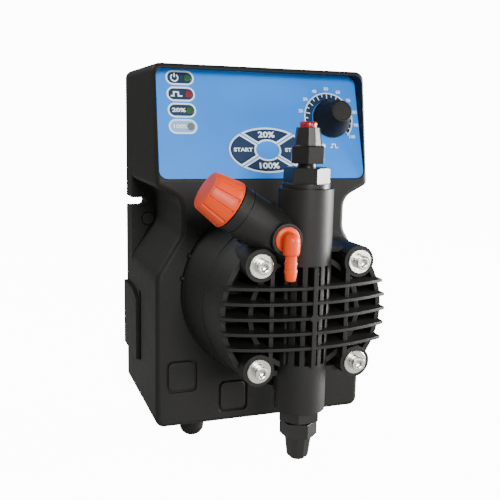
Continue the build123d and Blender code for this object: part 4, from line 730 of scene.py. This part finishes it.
# Rate dial: a dark band in a white ring, marks and numbers
dial = {
    "centre": (41.6, 35.7),
    "ringR": 15.4,
    "ringWidth": 0.7,
    "bandR": 10.5,
    "start": 218.0,  # degrees, and the scale runs clockwise
    "sweep": 256.0,
    "overrun": 3,
    "marks": 20,
    "markR": (11.9, 13.0),  # where the long and the short marks begin
    "markWidth": 0.55,
    "markLap": 0.2,  # how far a mark runs into the ring
    "numbers": 10,
    "numberR": 17.7,
    "numberSize": 1.9,
    "dotAt": (36.8, 19.2),
    "pulseAt": (43.4, 19.3),
}


def printDial(sizes):
    centre, start, sweep = sizes["centre"], sizes["start"], sizes["sweep"]
    bandEnds = (start + sizes["overrun"], start - sweep - sizes["overrun"])
    inner = sizes["ringR"] - sizes["ringWidth"]
    band = ringPoints(centre, inner, sizes["bandR"], *bandEnds, 60)
    printShapes("dialBand", [band], ink["low"], "keyFilm")
    marks = [ringPoints(centre, sizes["ringR"], inner, *bandEnds, 60)]
    for step in range(sizes["marks"] + 1):
        angle = radians(start - sweep * step / sizes["marks"])
        foot, top = sizes["markR"][step % 2], inner + sizes["markLap"]
        ends = [pointAt(centre, (radius, radius), angle) for radius in (foot, top)]
        marks.append(barPoints(*ends, sizes["markWidth"]))
    for i, mark in enumerate(marks):
        printShapes(f"dialMark{i}", [mark], ink["high"], "whiteInk")
    numbers = []
    for step in range(sizes["numbers"] + 1):
        angle = radians(start - sweep * step / sizes["numbers"])
        place = pointAt(centre, (sizes["numberR"],) * 2, angle)
        numbers.append((str(step * 10), place, sizes["numberSize"], 1.1))
    printWords("dialNumbers", numbers, ink["low"])
    signs = [circlePoints(sizes["dotAt"], 1.3), pulsePoints(sizes["pulseAt"], 5.2, 2.6, 0.55)]
    printShapes("dialSymbols", signs, ink["low"], "whiteInk")


printCapsules(capsules)
printKeys(keypad)
printDial(dial)
print("panel print made")


# Stage: floor, camera, lights and sky, in metres, degrees and watts
paper = {"height": -0.1012, "size": 12.0, "colour": (0.45, 0.45, 0.45), "roughness": 0.8, "glow": 12.5}


def makePaper(settings):
    # white paper, shown brighter than the light it sends back onto the object
    material, tree, shader = startMaterial("floorPaper", settings["colour"], settings["roughness"])
    varyColour(tree, shader, settings["colour"], spread=0.02, scale=3)
    sight = tree.nodes.new("ShaderNodeLightPath")
    glow = tree.nodes.new("ShaderNodeMath")
    glow.operation = "MULTIPLY"
    glow.inputs[1].default_value = settings["glow"]
    tree.links.new(sight.outputs["Is Camera Ray"], glow.inputs[0])
    tree.links.new(glow.outputs["Value"], shader.inputs["Emission Strength"])
    shader.inputs["Emission Color"].default_value = (1, 1, 1, 1)
    return material


def makeFloor(settings):
    bm = bmesh.new()
    bmesh.ops.create_grid(bm, x_segments=8, y_segments=8, size=settings["size"] / 2)
    bmesh.ops.translate(bm, verts=bm.verts, vec=(0, 0, settings["height"]))
    mesh = bpy.data.meshes.new("floor")
    bm.to_mesh(mesh)
    bm.free()
    mesh.materials.append(makePaper(settings))
    floor = bpy.data.objects.new("floor", mesh)
    bpy.context.scene.collection.objects.link(floor)


view = {
    "place": (-0.14555, -0.46534, 0.09311),
    "yaw": 19.82,
    "pitch": 10.0,
    "roll": 1.23,
    "focalPixels": 726.1,
    "framePixels": 500,
    "sensor": 36,  # millimetres
}


def makeCamera(settings):
    yaw, pitch, roll = (radians(settings[key]) for key in ("yaw", "pitch", "roll"))
    forward = Vector((sin(yaw) * cos(pitch), cos(yaw) * cos(pitch), -sin(pitch)))
    level = Vector((cos(yaw), -sin(yaw), 0))
    upright = level.cross(forward)
    right = level * cos(roll) + upright * sin(roll)
    up = upright * cos(roll) - level * sin(roll)
    data = bpy.data.cameras.new("camera")
    data.sensor_width = settings["sensor"]
    data.lens = settings["focalPixels"] * settings["sensor"] / settings["framePixels"]
    data.clip_start = 0.01
    camera = bpy.data.objects.new("camera", data)
    turn = Matrix((right, up, -forward)).transposed().to_4x4()
    camera.matrix_world = Matrix.Translation(settings["place"]) @ turn
    bpy.context.scene.collection.objects.link(camera)
    bpy.context.scene.camera = camera


# name: place, the point it is aimed at, size, power and tint
lights = {
    "keyLight": ((1.1, -0.2, 0.1), (0, -0.1, 0.0), (0.35, 0.5), 43, (1, 0.99, 0.97)),
    "frontLight": ((-0.02, -1.27, 0.46), (0, -0.1, 0.03), (0.45, 0.4), 17.5, (1, 1, 1)),
    "fillLight": ((-0.8, 0.45, 0.85), (0, -0.05, 0.1), (0.5, 0.5), 8, (1, 1, 1)),
    "lowLight": ((0.22, -0.56, -0.06), (0, -0.15, 0.0), (0.12, 0.05), 0.17, (1, 1, 1)),
}


def makeLight(name, place, aim, size, power, tint):
    data = bpy.data.lights.new(name, "AREA")
    data.shape = "RECTANGLE"
    data.size, data.size_y = size
    data.energy = power
    data.color = tint
    light = bpy.data.objects.new(name, data)
    turn = (Vector(aim) - Vector(place)).to_track_quat("-Z", "Y").to_matrix().to_4x4()
    light.matrix_world = Matrix.Translation(place) @ turn
    bpy.context.scene.collection.objects.link(light)


sky = {"colour": (0.97, 0.98, 1.0), "ambient": 0.16, "backdrop": 13.0}


def makeSky(settings):
    # a bright backdrop for the camera, and a faint light all round for the object
    world = bpy.data.worlds.new("studio")
    world.use_nodes = True
    tree = world.node_tree
    background = tree.nodes["Background"]
    background.inputs["Color"].default_value = (*settings["colour"], 1)
    sight = tree.nodes.new("ShaderNodeLightPath")
    span = tree.nodes.new("ShaderNodeMapRange")
    span.inputs["To Min"].default_value = settings["ambient"]
    span.inputs["To Max"].default_value = settings["backdrop"]
    tree.links.new(sight.outputs["Is Camera Ray"], span.inputs["Value"])
    tree.links.new(span.outputs["Result"], background.inputs["Strength"])
    bpy.context.scene.world = world


makeFloor(paper)
makeCamera(view)
for name, settings in lights.items():
    makeLight(name, *settings)
makeSky(sky)
print("stage made")
